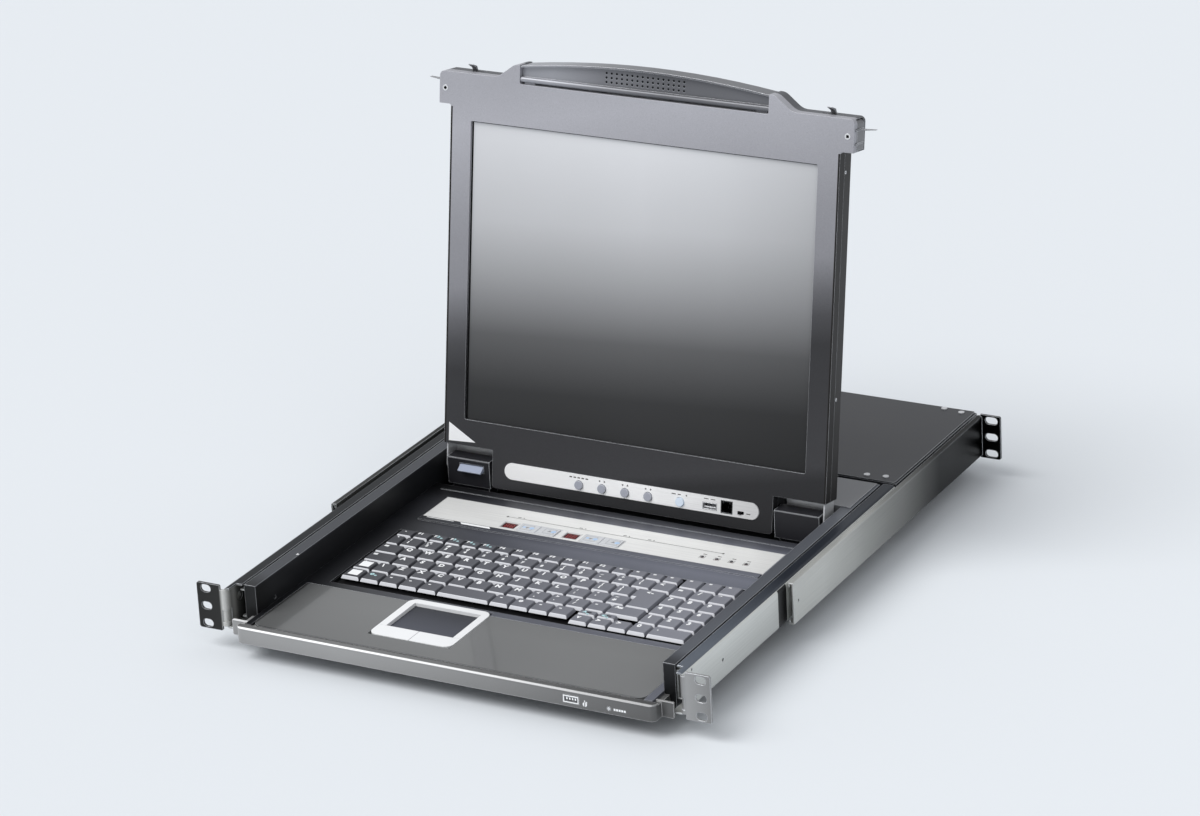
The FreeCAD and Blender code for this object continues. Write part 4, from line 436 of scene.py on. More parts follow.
# fades: places in metres along a direction with the gain of the painted light and shade there; edge, edgeWide,
# edgeColour: the painted edge highlights; colours as read on screen
looks = {
    "floorPaper": {"colour": studio["floor"], "rough": 0.95, "drift": 0.0, "speckle": 0.01, "grain": 0.01,
                   "shine": 0.1},
    # painted light: the bezel darker towards the bottom along lightFall, its sides painted shade
    "bezelPaint": {"colour": linear(165, 165, 171), "rough": 0.5, "metal": 0.2, "drift": 0.08, "speckle": 0.4,
                   "speckleScale": 1300, "grain": 0.4, "edge": 3.5, "edgeWide": 0.0006, "shine": 0.3,
                   "fades": ((lightFall, ((-0.017, 0.07), (0.012, 0.08), (0.025, 0.14), (0.08, 0.12), (0.13, 0.1),
                                          (0.155, 0.19), (0.176, 0.36), (0.205, 0.7), (0.25, 0.78), (0.29, 0.92),
                                          (0.32, 1.05), (0.345, 1.15), (0.38, 1.05))),),
                   "zones": (paintedSideShade,)},
    # painted light: the back lighter towards the top, its sides painted shade
    "backPaint": {"colour": linear(84, 85, 89), "rough": 0.5, "metal": 0.3, "speckle": 0.3, "grain": 0.3,
                  "edge": 2.0, "fades": ((up, ((0.0, 0.5), (0.2, 0.7), (0.37, 1.3))),), "zones": (paintedSideShade,)},
    # painted reflection: the glass pale at the top, dark towards the bottom and darker at the right
    "screenGlass": {"colour": linear(232, 233, 236), "rough": 0.3, "drift": 0.04, "speckle": 0.0, "grain": 0.0,
                    "shine": 0.12, "coat": 0.04, "coatRough": 0.1,
                    "fades": ((glassSheenFall, ((0.03, 0.034), (0.09, 0.052), (0.14, 0.145), (0.19, 0.41), (0.24, 0.65),
                                           (0.31, 0.82), (0.36, 0.84))),
                              (across, ((-0.17, 0.97), (0.0, 1.06), (0.08, 0.98), (0.17, 0.78))))},
    "darkPlastic": {"colour": linear(40, 40, 44), "rough": 0.4, "speckle": 0.2, "grain": 0.3, "edge": 14.0,
                    "edgeWide": 0.0010, "shine": 0.3},
    # painted light: the deck much lighter towards the right, with painted highlight bands towards the back
    "deckPlastic": {"colour": linear(34, 35, 39), "rough": 0.36, "speckle": 0.2, "grain": 0.3, "edge": 2.2,
                    "shine": 0.35,
                    "fades": ((across, ((-0.19, 0.6), (-0.16, 0.8), (-0.1, 3.0), (0.0, 6.6), (0.19, 8.6))),
                              (back, ((0.0, 0.9), (0.2, 1.0), (0.226, 1.4), (0.24, 1.1), (0.265, 1.7), (0.28, 1.6),
                                      (0.295, 0.7), (0.31, 0.3))))},
    "palmGloss": {"colour": linear(116, 117, 117), "rough": 0.2, "speckle": 0.03, "grain": 0.03, "coat": 0.5,
                  "edge": 2.0, "drift": 0.08, "shine": 0.3,
                  "fades": ((across, palmShadeAcross), (back, palmShadeBack))},
    # painted highlight: a bright band along the top of the front face and white edges; the top and the right side
    # darker as painted shade
    "fasciaPlastic": {"colour": linear(150, 150, 150), "rough": 0.32, "speckle": 0.12, "grain": 0.12, "edge": 5.0,
                      "edgeWide": 0.0009, "edgeColour": linear(250, 250, 250),
                      "fades": ((across, ((-0.2, 0.95), (-0.1, 1.0), (0.05, 0.7), (0.13, 0.45), (0.2, 0.3))),
                                (up, ((-0.0225, 0.98), (-0.0105, 1.1), (-0.0089, 1.0), (-0.0085, 3.0), (-0.0075, 3.2),
                                      (-0.00735, 0.55), (-0.006, 0.4))))},
    # painted light: a painted highlight on the top flange, painted shade at the front end, lighter at the right
    "trayPaint": {"colour": linear(50, 52, 56), "rough": 0.42, "metal": 0.3, "speckle": 0.25, "grain": 0.25,
                  "edge": 6.0, "edgeWide": 0.0009, "edgeColour": linear(190, 192, 196),
                  "fades": ((up, ((-0.02, 0.4), (0.0165, 0.55), (0.0183, 2.0), (0.019, 2.0))),
                            (back, ((0.0, 0.15), (0.02, 0.3), (0.04, 1.0))),
                            (across, ((-0.21, 0.95), (0.15, 1.0), (0.2, 1.8))))},
    # painted light across and up; the top flanges dark and bluish as painted shade, the right one darker further
    # back; a painted shadow band on the right rail just ahead of its bracket
    "railSteel": {"colour": linear(200, 202, 199), "rough": 0.4, "metal": 0.4, "speckle": 0.15, "grain": 0.1,
                  "brushed": (1200.0, 15.0, 1200.0), "edge": 6.0, "edgeWide": 0.0009,
                  "fades": ((across, ((-0.218, 0.85), (-0.19, 0.8), (-0.1, 0.5), (0.1, 0.5), (0.2, 0.7),
                                      (0.2165, 1.0))),
                            (up, ((-0.0185, 0.9), (0.0, 1.0), (0.0165, 1.2)))),
                  "zones": ((linear(100, 107, 117), ((0, 0.19, 0.23), (2, 0.0174, 0.03))),
                            (linear(34, 40, 50), ((0, 0.19, 0.23), (1, 0.05, 0.6, 0.15), (2, 0.0174, 0.03))),
                            (linear(8, 13, 19), ((0, -0.23, -0.19), (2, 0.0174, 0.03))),
                            (linear(22, 22, 24), ((0, 0.205, 0.23), (1, 0.172, 0.1875), (2, -0.03, 0.0172))))},
    # painted shade: darker towards the back, the left bracket nearly black
    "bracketSteel": {"colour": linear(198, 199, 195), "rough": 0.36, "metal": 0.5, "speckle": 0.15, "grain": 0.12,
                     "edge": 5.0, "edgeWide": 0.0009, "brushed": (1200.0, 15.0, 1200.0), "shine": 0.2,
                     "fades": ((back, ((0.18, 1.0), (0.245, 1.0), (0.303, 0.78), (0.324, 0.66), (0.405, 0.36),
                                       (0.45, 0.12), (0.48, 0.0), (0.6, 0.0))),
                               (across, ((-0.23, 0.08), (-0.19, 0.1), (0.1, 1.0))))},
    # painted light: the right ear's tone changes across it
    "earSteel": {"colour": linear(168, 168, 168), "rough": 0.36, "metal": 0.4, "speckle": 0.3, "grain": 0.3,
                 "edge": 8.0, "edgeWide": 0.0009,
                 "fades": ((across, ((0.21, 0.5), (0.22, 0.9), (0.242, 0.6))),)},
    # the left ear's bare leg is bright steel, with a painted highlight at its bend and painted shade further back
    "earDark": {"colour": linear(42, 42, 41), "rough": 0.4, "metal": 0.3, "speckle": 0.3, "grain": 0.3, "edge": 4.0,
                "edgeWide": 0.0007, "shine": 0.3,
                "fades": ((across, ((-0.242, 0.8), (-0.2195, 1.0), (-0.2165, 26.0), (-0.213, 24.0))),
                          (back, ((0.0, 1.0), (0.004, 1.0), (0.008, 0.4), (0.012, 0.6), (0.018, 0.22),
                                  (0.028, 0.07))))},
    "coverSteel": {"colour": linear(70, 71, 74), "rough": 0.4, "metal": 0.3, "speckle": 0.3, "grain": 0.25,
                   "edge": 6.0, "edgeWide": 0.0008},
    "midCoverSteel": {"colour": linear(130, 131, 134), "rough": 0.4, "metal": 0.4, "speckle": 0.3, "grain": 0.25,
                      "edge": 6.0, "edgeWide": 0.0008},
    # painted light: the strip lighter towards the middle and right
    "stripSilver": {"colour": linear(236, 236, 234), "rough": 0.36, "metal": 0.1, "speckle": 0.08, "grain": 0.06,
                    "brushed": (15.0, 1200.0, 1200.0), "edge": 2.0, "shine": 0.3,
                    "fades": ((across, ((-0.17, 0.9), (-0.06, 1.05), (0.03, 1.12), (0.17, 1.0))),)},
    # painted light: the plate darker towards the right
    "plateSilver": {"colour": linear(248, 248, 248), "rough": 0.3, "metal": 0.1, "speckle": 0.05, "grain": 0.04,
                    "brushed": (15.0, 1200.0, 1200.0), "edge": 2.0,
                    "fades": ((across, ((-0.13, 1.12), (0.02, 1.1), (0.08, 0.9), (0.13, 0.7))),)},
    "padWhite": {"colour": linear(246, 247, 248), "rough": 0.25, "speckle": 0.03, "grain": 0.03, "coat": 0.4,
                 "edge": 1.0},
    # painted shade: the pad darker towards the back, lighter at the front
    "padSurface": {"colour": linear(70, 72, 80), "rough": 0.5, "speckle": 0.3, "speckleScale": 2500, "grain": 0.3,
                   "shine": 0.3, "fades": ((back, ((0.035, 1.35), (0.06, 1.0), (0.085, 0.45))),)},
    # painted light: the keys lighter towards the right
    "keyPlastic": {"colour": linear(92, 93, 99), "rough": 0.42, "speckle": 0.2, "grain": 0.2, "edge": 1.4,
                   "edgeWide": 0.0004, "edgeColour": linear(190, 192, 200), "shine": 0.35,
                   "fades": ((across, ((-0.17, 0.5), (-0.08, 0.95), (0.03, 1.75), (0.17, 2.3))),)},
    # painted highlight: the front slopes of the keys drawn pale
    "keyFrontHighlight": {"colour": linear(222, 223, 228), "rough": 0.4, "speckle": 0.1, "grain": 0.15},
    "bayBlack": {"colour": linear(14, 14, 16), "rough": 0.6, "speckle": 0.2, "grain": 0.2, "shine": 0.15},
    "legendWhite": {"colour": linear(250, 251, 252), "rough": 0.6, "speckle": 0.05, "grain": 0.0},
    "legendTeal": {"colour": linear(190, 226, 230), "rough": 0.6, "speckle": 0.05, "grain": 0.0},
    "inkGrey": {"colour": linear(84, 82, 80), "rough": 0.6, "speckle": 0.05, "grain": 0.0, "shine": 0.2},
    "inkMid": {"colour": linear(150, 152, 156), "rough": 0.6, "speckle": 0.05, "grain": 0.0, "shine": 0.2},
    "spotBlue": {"colour": linear(188, 212, 240), "rough": 0.4, "speckle": 0.05, "grain": 0.0, "shine": 0.3},
    "inkPale": {"colour": linear(196, 198, 200), "rough": 0.6, "speckle": 0.05, "grain": 0.0, "shine": 0.2},
    "socketNickel": {"colour": linear(215, 216, 218), "rough": 0.25, "metal": 0.6, "speckle": 0.05, "grain": 0.05,
                     "edge": 1.5, "zones": ((linear(16, 16, 18), (("either side", 0.0885, 0.101), (1, 0.2, 0.4))),)},
    "screwSteel": {"colour": linear(225, 226, 228), "rough": 0.28, "metal": 0.4, "speckle": 0.1, "grain": 0.1,
                   "edge": 2.0},
    "boardGreen": {"colour": linear(24, 74, 48), "rough": 0.5, "drift": 0.3, "driftScale": 60, "grain": 0.2},
    "digitRed": {"colour": linear(78, 28, 30), "rough": 0.25, "speckle": 0.05, "grain": 0.02, "coat": 0.3,
                 "shine": 0.3},
    "digitLit": {"colour": linear(150, 62, 60), "rough": 0.4, "glow": linear(220, 60, 60), "glowStrength": 0.1},
    "buttonBlue": {"colour": linear(172, 175, 186), "rough": 0.24, "coat": 0.6, "speckle": 0.04, "grain": 0.04,
                   "edge": 6.0, "edgeWide": 0.0007},
    "rockerSilver": {"colour": linear(226, 228, 231), "rough": 0.24, "coat": 0.5, "speckle": 0.04, "grain": 0.03,
                     "edge": 2.0},
    "lampLens": {"colour": linear(156, 164, 184), "rough": 0.14, "coat": 0.6, "speckle": 0.03, "grain": 0.02,
                 "edge": 3.0, "glow": linear(190, 214, 250), "glowStrength": 0.02},
    # painted light: the handle lighter towards the left
    "handleGrey": {"colour": linear(128, 129, 134), "rough": 0.34, "metal": 0.35, "speckle": 0.1, "grain": 0.1,
                   "edge": 5.0, "edgeWide": 0.0007, "edgeColour": linear(235, 236, 240),
                   "fades": ((across, ((-0.09, 1.6), (-0.04, 0.9), (0.02, 0.6), (0.09, 0.72))),)},
    "catchGrey": {"colour": linear(116, 116, 119), "rough": 0.4, "metal": 0.2, "speckle": 0.15, "grain": 0.15,
                  "edge": 8.0, "edgeWide": 0.0008},
    "holeBlack": {"colour": linear(12, 12, 14), "rough": 0.7, "speckle": 0.1, "grain": 0.1, "shine": 0.15},
    "frostedLamp": {"colour": linear(216, 226, 238), "rough": 0.3, "coat": 0.4, "glow": linear(200, 230, 255),
                    "glowStrength": 0.1, "edge": 2.0},
    "lampPale": {"colour": linear(70, 76, 80), "rough": 0.3, "coat": 0.4, "edge": 2.0},
}
finishes = {name: makeFinish(name, look) for name, look in looks.items()}
dress(floorMesh, "floorPaper")
print("finishes made:", len(finishes))

# which solids of the frame wear each finish
wornBy = {
    "railSteel": ("rail_left", "rail_right", "bracket_guides", "power_supply", "slide_middle", "slide_inner"),
    "earDark": ("front_ear_left",), "earSteel": ("front_ear_right",), "coverSteel": ("rear_chassis", "rear_cover"),
    "midCoverSteel": ("mid_cover",), "bracketSteel": ("rear_bracket_left", "rear_bracket_right"),
    "boardGreen": ("main_board", "lcd_driver_board"), "holeBlack": ("power_inlet", "power_switch", "service_switch"),
    "socketNickel": ("console_ports", "front_ports", "service_ports"),
    "screwSteel": ("cover_screws", "hinge_arms", "hinge_shafts"), "trayPaint": ("tray",),
    "fasciaPlastic": ("front_fascia",), "palmGloss": ("palm_rest",), "deckPlastic": ("deck_bezel",),
    "stripSilver": ("control_strip",), "digitRed": ("display_module",),
    "rockerSilver": ("port_rocker_1", "port_rocker_2"), "padSurface": ("touchpad",),
    "padWhite": ("touchpad_frame", "pad_button_left", "pad_button_right"), "bayBlack": ("keyboard_base",),
    "keyPlastic": ("keys_function", "keys_number", "keys_upper", "keys_home", "keys_lower", "keys_bottom",
                   "space_bar"),
    "darkPlastic": ("hinge_block_left", "hinge_block_right"), "lampLens": ("keyboard_lamp",),
    "bezelPaint": ("lcd_bezel",), "backPaint": ("lcd_back",), "screenGlass": ("lcd_panel",),
    "plateSilver": ("osd_plate",), "buttonBlue": ["osd_button_%d" % i for i in range(1, 5)],
    "frostedLamp": ("lcd_power_button",), "handleGrey": ("handle",), "catchGrey": ("catch_left", "catch_right"),
}
for finish, wearers in wornBy.items():
    for node in wearers:
        dress(nodes[node].data, finish)
print("frame dressed")


# setting out: one small shape laid on many places, each stretched about its middle where asked

def makeLayTree():
    tree = bpy.data.node_groups.new("layOut", "GeometryNodeTree")
    for label, kind in (("Places", "Geometry"), ("Shape", "Object"), ("Finish", "Material"),
                        ("Highlight Finish", "Material"), ("Spin", "Vector"), ("Seed", "Int")):
        tree.interface.new_socket(label, in_out="INPUT", socket_type="NodeSocket" + kind)
    tree.interface.new_socket("Pieces", in_out="OUTPUT", socket_type="NodeSocketGeometry")
    given = tree.nodes.new("NodeGroupInput")
    shape = tree.nodes.new("GeometryNodeObjectInfo")
    laid = tree.nodes.new("GeometryNodeInstanceOnPoints")
    spin = tree.nodes.new("FunctionNodeRandomValue")
    spin.data_type = "FLOAT_VECTOR"
    spin.inputs[0].default_value = (0, 0, 0)
    turn = tree.nodes.new("FunctionNodeEulerToRotation")
    solid = tree.nodes.new("GeometryNodeRealizeInstances")
    side = tree.nodes.new("GeometryNodeInputNamedAttribute")
    extra = tree.nodes.new("GeometryNodeInputNamedAttribute")
    for node, name in ((side, "cornerSide"), (extra, "extra")):
        node.data_type = "FLOAT_VECTOR"
        node.inputs["Name"].default_value = name
    grow = tree.nodes.new("ShaderNodeVectorMath")
    grow.operation = "MULTIPLY"
    half = tree.nodes.new("ShaderNodeVectorMath")
    half.operation = "SCALE"
    half.inputs["Scale"].default_value = 0.5
    stretched = tree.nodes.new("GeometryNodeSetPosition")
    # faces marked as front take the painted highlight finish
    front = tree.nodes.new("GeometryNodeInputNamedAttribute")
    front.data_type = "BOOLEAN"
    front.inputs["Name"].default_value = "highlightFace"
    dressed = tree.nodes.new("GeometryNodeSetMaterial")
    faced = tree.nodes.new("GeometryNodeSetMaterial")
    result = tree.nodes.new("NodeGroupOutput")
    link = tree.links.new
    link(given.outputs["Shape"], shape.inputs["Object"])
    link(given.outputs["Places"], laid.inputs["Points"])
    link(shape.outputs["Geometry"], laid.inputs["Instance"])
    link(given.outputs["Spin"], spin.inputs[1])
    link(given.outputs["Seed"], spin.inputs["Seed"])
    link(spin.outputs[0], turn.inputs[0])
    link(turn.outputs[0], laid.inputs["Rotation"])
    link(laid.outputs[0], solid.inputs[0])
    link(solid.outputs[0], stretched.inputs["Geometry"])
    link(side.outputs["Attribute"], grow.inputs[0])
    link(extra.outputs["Attribute"], grow.inputs[1])
    link(grow.outputs[0], half.inputs[0])
    link(half.outputs[0], stretched.inputs["Offset"])
    link(stretched.outputs[0], dressed.inputs["Geometry"])
    link(given.outputs["Finish"], dressed.inputs["Material"])
    link(dressed.outputs[0], faced.inputs["Geometry"])
    link(front.outputs["Attribute"], faced.inputs["Selection"])
    link(given.outputs["Highlight Finish"], faced.inputs["Material"])
    link(faced.outputs[0], result.inputs["Pieces"])
    return tree


layTree = makeLayTree()
layInputs = {item.name: item.identifier for item in layTree.interface.items_tree if item.in_out == "INPUT"}


def layOut(name, places, shape, finish, body, onHead=False, front=None, extra=None, spin=(0, 0, 0), seed=7):
    # places in mm; extra is how much each copy grows, front the finish of the faces marked for the painted highlight
    spots = bpy.data.meshes.new("places")
    spots.from_pydata([[c * mm for c in p] for p in places], [], [])
    if extra:
        grow = spots.attributes.new("extra", "FLOAT_VECTOR", "POINT")
        grow.data.foreach_set("vector", [c * mm for p in extra for c in p])
    holder = bpy.data.objects.new("places", spots)
    pattern = bpy.data.objects.new("shape", shape)
    for thing in (holder, pattern):
        bpy.context.scene.collection.objects.link(thing)
    lay = holder.modifiers.new("layOut", "NODES")
    lay.node_group = layTree
    given = {"Shape": pattern, "Finish": finishes[finish], "Highlight Finish": finishes[front or finish],
             "Spin": spin, "Seed": seed}
    for label, value in given.items():
        lay[layInputs[label]] = value
    seen = bpy.context.evaluated_depsgraph_get()
    mesh = bpy.data.meshes.new_from_object(holder.evaluated_get(seen))
    for thing in (holder, pattern):
        bpy.data.objects.remove(thing)
    bpy.data.meshes.remove(spots)
    for word in ("extra", "cornerSide", "highlightFace"):
        if word in mesh.attributes:
            mesh.attributes.remove(mesh.attributes[word])
    return settle(name, mesh, body, onHead)


def flatMesh(polygons, way, level):
    # flat marks on one plane, facing out of it: up for z, forward for y
    bm = bmesh.new()
    for points in polygons:
        addStrip(bm, points, way, level)
    bm.normal_update()
    for face in bm.faces:
        facing = face.normal.z if way == "z" else -face.normal.y
        if facing < 0:
            face.normal_flip()
    mesh = bpy.data.meshes.new("marks")
    bm.to_mesh(mesh)
    bm.free()
    mesh.transform(Matrix.Scale(mm, 4))
    return mesh


def flatPiece(name, polygons, way, level, finish, body, onHead=False):
    mesh = flatMesh(polygons, way, level)
    dress(mesh, finish)
    return settle(name, mesh, body, onHead)


def bar(a0, a1, b0, b1):
    return [(a0, b0), (a1, b0), (a1, b1), (a0, b1)]


def ringBars(a0, a1, b0, b1, wide):
    # a thin frame as four bars
    return [bar(a0, a1, b0, b0 + wide), bar(a0, a1, b1 - wide, b1),
            bar(a0, a0 + wide, b0 + wide, b1 - wide), bar(a1 - wide, a1, b0 + wide, b1 - wide)]


def disc(a, b, radius, sides=16, turn=0):
    angles = [math.radians(turn + 360 * i / sides) for i in range(sides)]
    return [(a + radius * math.cos(angle), b + radius * math.sin(angle)) for angle in angles]


def arrow(a, b, size, way):
    # a small triangle that points one way
    return disc(a, b, size, 3, {"up": 90, "down": 270, "left": 180, "right": 0}[way])


# keys

keyMake = {"wide": 17.9, "deep": 17.4, "gap": 1.25, "corner": 4, "returnCorner": 0.4, "slopes": 3,
           # height, inset at the sides, front and back, corner radius
           "rings": ((-7.0, 0.0, 0.0, 0.0, 0.7), (-6.6, 0.08, 0.1, 0.03, 0.8), (-4.45, 0.85, 1.15, 0.3, 1.2),
                     (-4.12, 1.1, 1.5, 0.45, 1.4), (-4.0, 1.6, 2.1, 0.9, 1.5), (-4.14, 4.0, 4.4, 2.7, 2.0))}


def capMesh(rings):
    # walls between rings of corners, low to high, and a top; the slopes that face the front are marked for a painted
    # highlight
    bm = bmesh.new()
    rows = [[bm.verts.new(p) for p in ring] for ring in rings]
    count = len(rows[0])
    slopes = []
    for level, (lower, upper) in enumerate(zip(rows, rows[1:])):
        for i in range(count):
            face = bm.faces.new((lower[i], lower[(i + 1) % count], upper[(i + 1) % count], upper[i]))
            if level < keyMake["slopes"]:
                slopes.append(face)
    bm.faces.new(rows[-1])
    bm.normal_update()
    bm.faces.index_update()
    bright = {face.index for face in slopes if face.normal.y < -0.55}
    mesh = bpy.data.meshes.new("keycap")
    bm.to_mesh(mesh)
    bm.free()
    return mesh, bright


def keycapShape():
    rings = []
    for height, side, front, rear, radius in keyMake["rings"]:
        x1 = keyMake["wide"] / 2 - side
        y0, y1 = front - keyMake["deep"] / 2, keyMake["deep"] / 2 - rear
        ring = []
        for cx, cy, start in ((x1 - radius, y1 - radius, 0), (radius - x1, y1 - radius, 90),
                              (radius - x1, y0 + radius, 180), (x1 - radius, y0 + radius, 270)):
            for i in range(keyMake["corner"]):
                angle = math.radians(start + 90 * i / (keyMake["corner"] - 1))
                ring.append((cx + radius * math.cos(angle), cy + radius * math.sin(angle), height))
        rings.append(ring)
    mesh, bright = capMesh(rings)
    side = mesh.attributes.new("cornerSide", "FLOAT_VECTOR", "POINT")
    side.data.foreach_set("vector", [c for v in mesh.vertices for c in (
        math.copysign(1, v.co.x), math.copysign(1, v.co.y), 0.0)])
    mark = mesh.attributes.new("highlightFace", "BOOLEAN", "FACE")
    mark.data.foreach_set("value", [polygon.index in bright for polygon in mesh.polygons])
    mesh.transform(Matrix.Scale(mm, 4))
    return mesh


def returnShape(x0, step, x1, y0, middle, y1):
    # a key in two widths, its corners cut small
    rings = []
    half = keyMake["gap"] / 2
    for height, side, front, rear, radius in keyMake["rings"]:
        left, inner, right = x0 + half + side, step + half + side, x1 - half - side
        low, shelf, high = y0 + half + front, middle + half + front, y1 - half - rear
        c = radius * keyMake["returnCorner"]
        rings.append([(a, b, height) for a, b in (
            (inner + c, low), (right - c, low), (right, low + c), (right, high - c), (right - c, high),
            (left + c, high), (left, high - c), (left, shelf + c), (left + c, shelf), (inner, shelf),
            (inner, low + c))])
    return capMesh(rings)


keyPlan = {"left": -165.4, "back": 208.0, "unit": 18.85, "rise": 18.35, "topDeep": 13.5, "topUnit": 16.25,
           "cluster": 58.4, "pad": 113.0, "padWide": 18.2, "padDeep": 18.6}
rowBack = keyPlan["back"] - keyPlan["topDeep"]
rowLines = [rowBack - i * keyPlan["rise"] for i in range(6)]


def rowKeys(left, widths, front, rear, unit=keyPlan["unit"]):
    out = []
    for wide in widths:
        out.append((left, left + wide * unit, front, rear))
        left += wide * unit
    return out


def padKeys(step, widths=(1, 1, 1)):
    rear = keyPlan["back"] - step * keyPlan["padDeep"]
    return rowKeys(keyPlan["pad"], widths, rear - keyPlan["padDeep"], rear, keyPlan["padWide"])


left, unit = keyPlan["left"], keyPlan["unit"]
clusterFront = keyPlan["back"] - 6 * keyPlan["padDeep"]
bottomKeys = rowKeys(left, [1] * 5, rowLines[5], rowLines[4])
bottomKeys += rowKeys(left + 7.69 * unit, [1] * 4, rowLines[5], rowLines[4])
for i in range(2):
    a = keyPlan["cluster"] + i * keyPlan["padWide"]
    bottomKeys.append((a, a + keyPlan["padWide"], clusterFront + 15, rowLines[4]))
    bottomKeys.append((a, a + keyPlan["padWide"], clusterFront, clusterFront + 15))
bottomKeys.append((keyPlan["cluster"] + 2 * keyPlan["padWide"], keyPlan["pad"], clusterFront, clusterFront + 17))
# each row: its keys and their signs, left to right; two signs on a key stand one above the other
keyRows = {
    "keys_function": (rowKeys(left, [1] * 17, rowBack, keyPlan["back"], keyPlan["topUnit"]) + padKeys(0),
                      "- 1 2 3 4 5 6 7 8 9 0 1 2 = = = = = = ="),
    "keys_number": (rowKeys(left, [0.72] + [1] * 13 + [1.02], rowLines[1], rowLines[0]) + padKeys(1),
                    "` 1! 2@ 3# 4$ 5% 6^ 7& 8* 9( 0) -_ =+ \\| < = / *"),
    "keys_upper": (rowKeys(left, [1.22] + [1] * 12, rowLines[2], rowLines[1]) + padKeys(2),
                   "= Q W E R T Y U I O P [{ ]} 7 8 9"),
    "keys_home": (rowKeys(left, [1.47] + [1] * 12, rowLines[3], rowLines[2]) + padKeys(3),
                  "= A S D F G H J K L ;: '\" #~ 4 5 6"),
    "keys_lower": (rowKeys(left, [0.98] + [1] * 12 + [1.73], rowLines[4], rowLines[3]) + padKeys(4),
                   "^ \\ Z X C V B N M ,< .> /? - ^= 1 2 3"),
    "keys_bottom": (bottomKeys + padKeys(5, (1, 2)), "o o - - - - o - - ^ v < > > 0 ."),
    "space_bar": ([(left + 5 * unit, left + 7.69 * unit, rowLines[5], rowLines[4])], ""),
}
legend = {"bold": 0.055, "level": -3.95, "blockLevel": -3.9, "fromLeft": 6.4, "fromBack": 5.4, "size": 7.0,
          "topFromBack": 4.0, "topSize": 4.8, "pair": ((1, 0.6, 5.0), (0, -5.0, 5.2)), "step": 3.4,
          "topLetter": (-2.8, 4.4), "tealMark": (3.8, -1.6, 4.2), "returnSigns": (("<", 13.9, 6.0), ("-", 14.1, 7.0)),
          "returnFromBack": 6, "block": (4.6, 14.6, 5.2, 3.2), "blockRows": ("keys_lower", "keys_bottom")}
tealKeys = {"keys_function": (2, 3, 4, 5), "keys_bottom": (1, 9, 11)}
capShape = keycapShape()
signShapes = {}


def signAt(sign, x, y, size):
    if sign not in signShapes:
        signShapes[sign] = signMesh(sign, legend["bold"])
    mesh = signShapes[sign].copy()
    mesh.transform(Matrix.Translation((x * mm, y * mm, legend["level"] * mm)) @ Matrix.Scale(size * mm, 4))
    return mesh


def addReturn(caps):
    # the return key in two widths joins the caps of its row
    bm = bmesh.new()
    bm.from_mesh(caps.data)
    wide = [left + k * unit for k in (13.22, 13.47, 14.72)]
    big, bright = returnShape(*wide, rowLines[3], rowLines[2], rowLines[1])
    big.transform(Matrix.Scale(mm, 4))
    top, slope = [caps.data.materials.find(word) for word in ("keyPlastic", "keyFrontHighlight")]
    big.polygons.foreach_set("material_index", [slope if i in bright else top for i in range(len(big.polygons))])
    bm.from_mesh(big)
    bm.to_mesh(caps.data)
    bm.free()


def rowSigns(name, keys, signs):
    # the white and the teal marks of one row
    white, teal = [], []
    if name == "keys_home":
        for sign, at, size in legend["returnSigns"]:
            white.append(signAt(sign, left + at * unit, rowLines[1] - legend["returnFromBack"], size))
    if name in legend["blockRows"]:
        x0, x1, y0, y1 = keys[0]
        blockLeft, blockRight, blockFront, blockBack = legend["block"]
        block = bar(x0 + blockLeft, x0 + blockRight, y0 + blockFront, y1 - blockBack)
        white.append(flatMesh([block], "z", legend["blockLevel"]))
    top = name == "keys_function"
    for i, ((x0, x1, y0, y1), sign) in enumerate(zip(keys, signs.split())):
        x, y = x0 + legend["fromLeft"], y1 - legend["topFromBack" if top else "fromBack"]
        into = teal if i in tealKeys.get(name, ()) else white
        if len(sign) == 2 and sign[1] != "=":
            into += [signAt(sign[k], x, y + shift, size) for k, shift, size in legend["pair"]]
        else:
            size = legend["topSize" if top else "size"]
            into += [signAt(one, x + legend["step"] * k, y, size) for k, one in enumerate(sign)]
        if top and 0 < i < 13:
            shift, size = legend["topLetter"]
            white.append(signAt("F", x + shift, y, size))
        if into is teal:
            shift, rise, size = legend["tealMark"]
            teal.append(signAt("o", x + shift, y + rise, size))
    return (white, "legendWhite"), (teal, "legendTeal")


for name, (keys, signs) in keyRows.items():
    body = name + "_body"
    places = [((x0 + x1) / 2, (y0 + y1) / 2, 0) for x0, x1, y0, y1 in keys]
    extra = [(x1 - x0 - keyMake["gap"] - keyMake["wide"], y1 - y0 - keyMake["gap"] - keyMake["deep"], 0)
             for x0, x1, y0, y1 in keys]
    caps = layOut("caps_" + name, places, capShape.copy(), "keyPlastic", body, front="keyFrontHighlight", extra=extra)
    if name == "keys_home":
        addReturn(caps)
    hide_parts(name)
    for meshes, finish in rowSigns(name, keys, signs):
        if meshes:
            mesh = joinMeshes(meshes)
            dress(mesh, finish)
            settle(name + "_" + finish, mesh, body)
print("keys laid")


# screws

screws = {"ear": {"up": 348.0, "across": 194.0, "round": 2.7, "stand": 0.25, "sides": 20, "cross": (2.6, 1.9)},
          "side": {"up": (315.0, 118.5), "across": 188.0, "deep": 12.0, "round": 1.5, "stand": 0.2, "sides": 14,
                   "cross": (1.3, 0.9)},
          "root": 0.3, "crossProud": 0.03, "crossDeep": 0.2, "spin": 1.5}


def screwShape(way, kind):
    bm = bmesh.new()
    addDisc(bm, (0, 0), kind["round"], way, -kind["stand"], screws["root"], kind["sides"])
    return fromBmesh(bm)


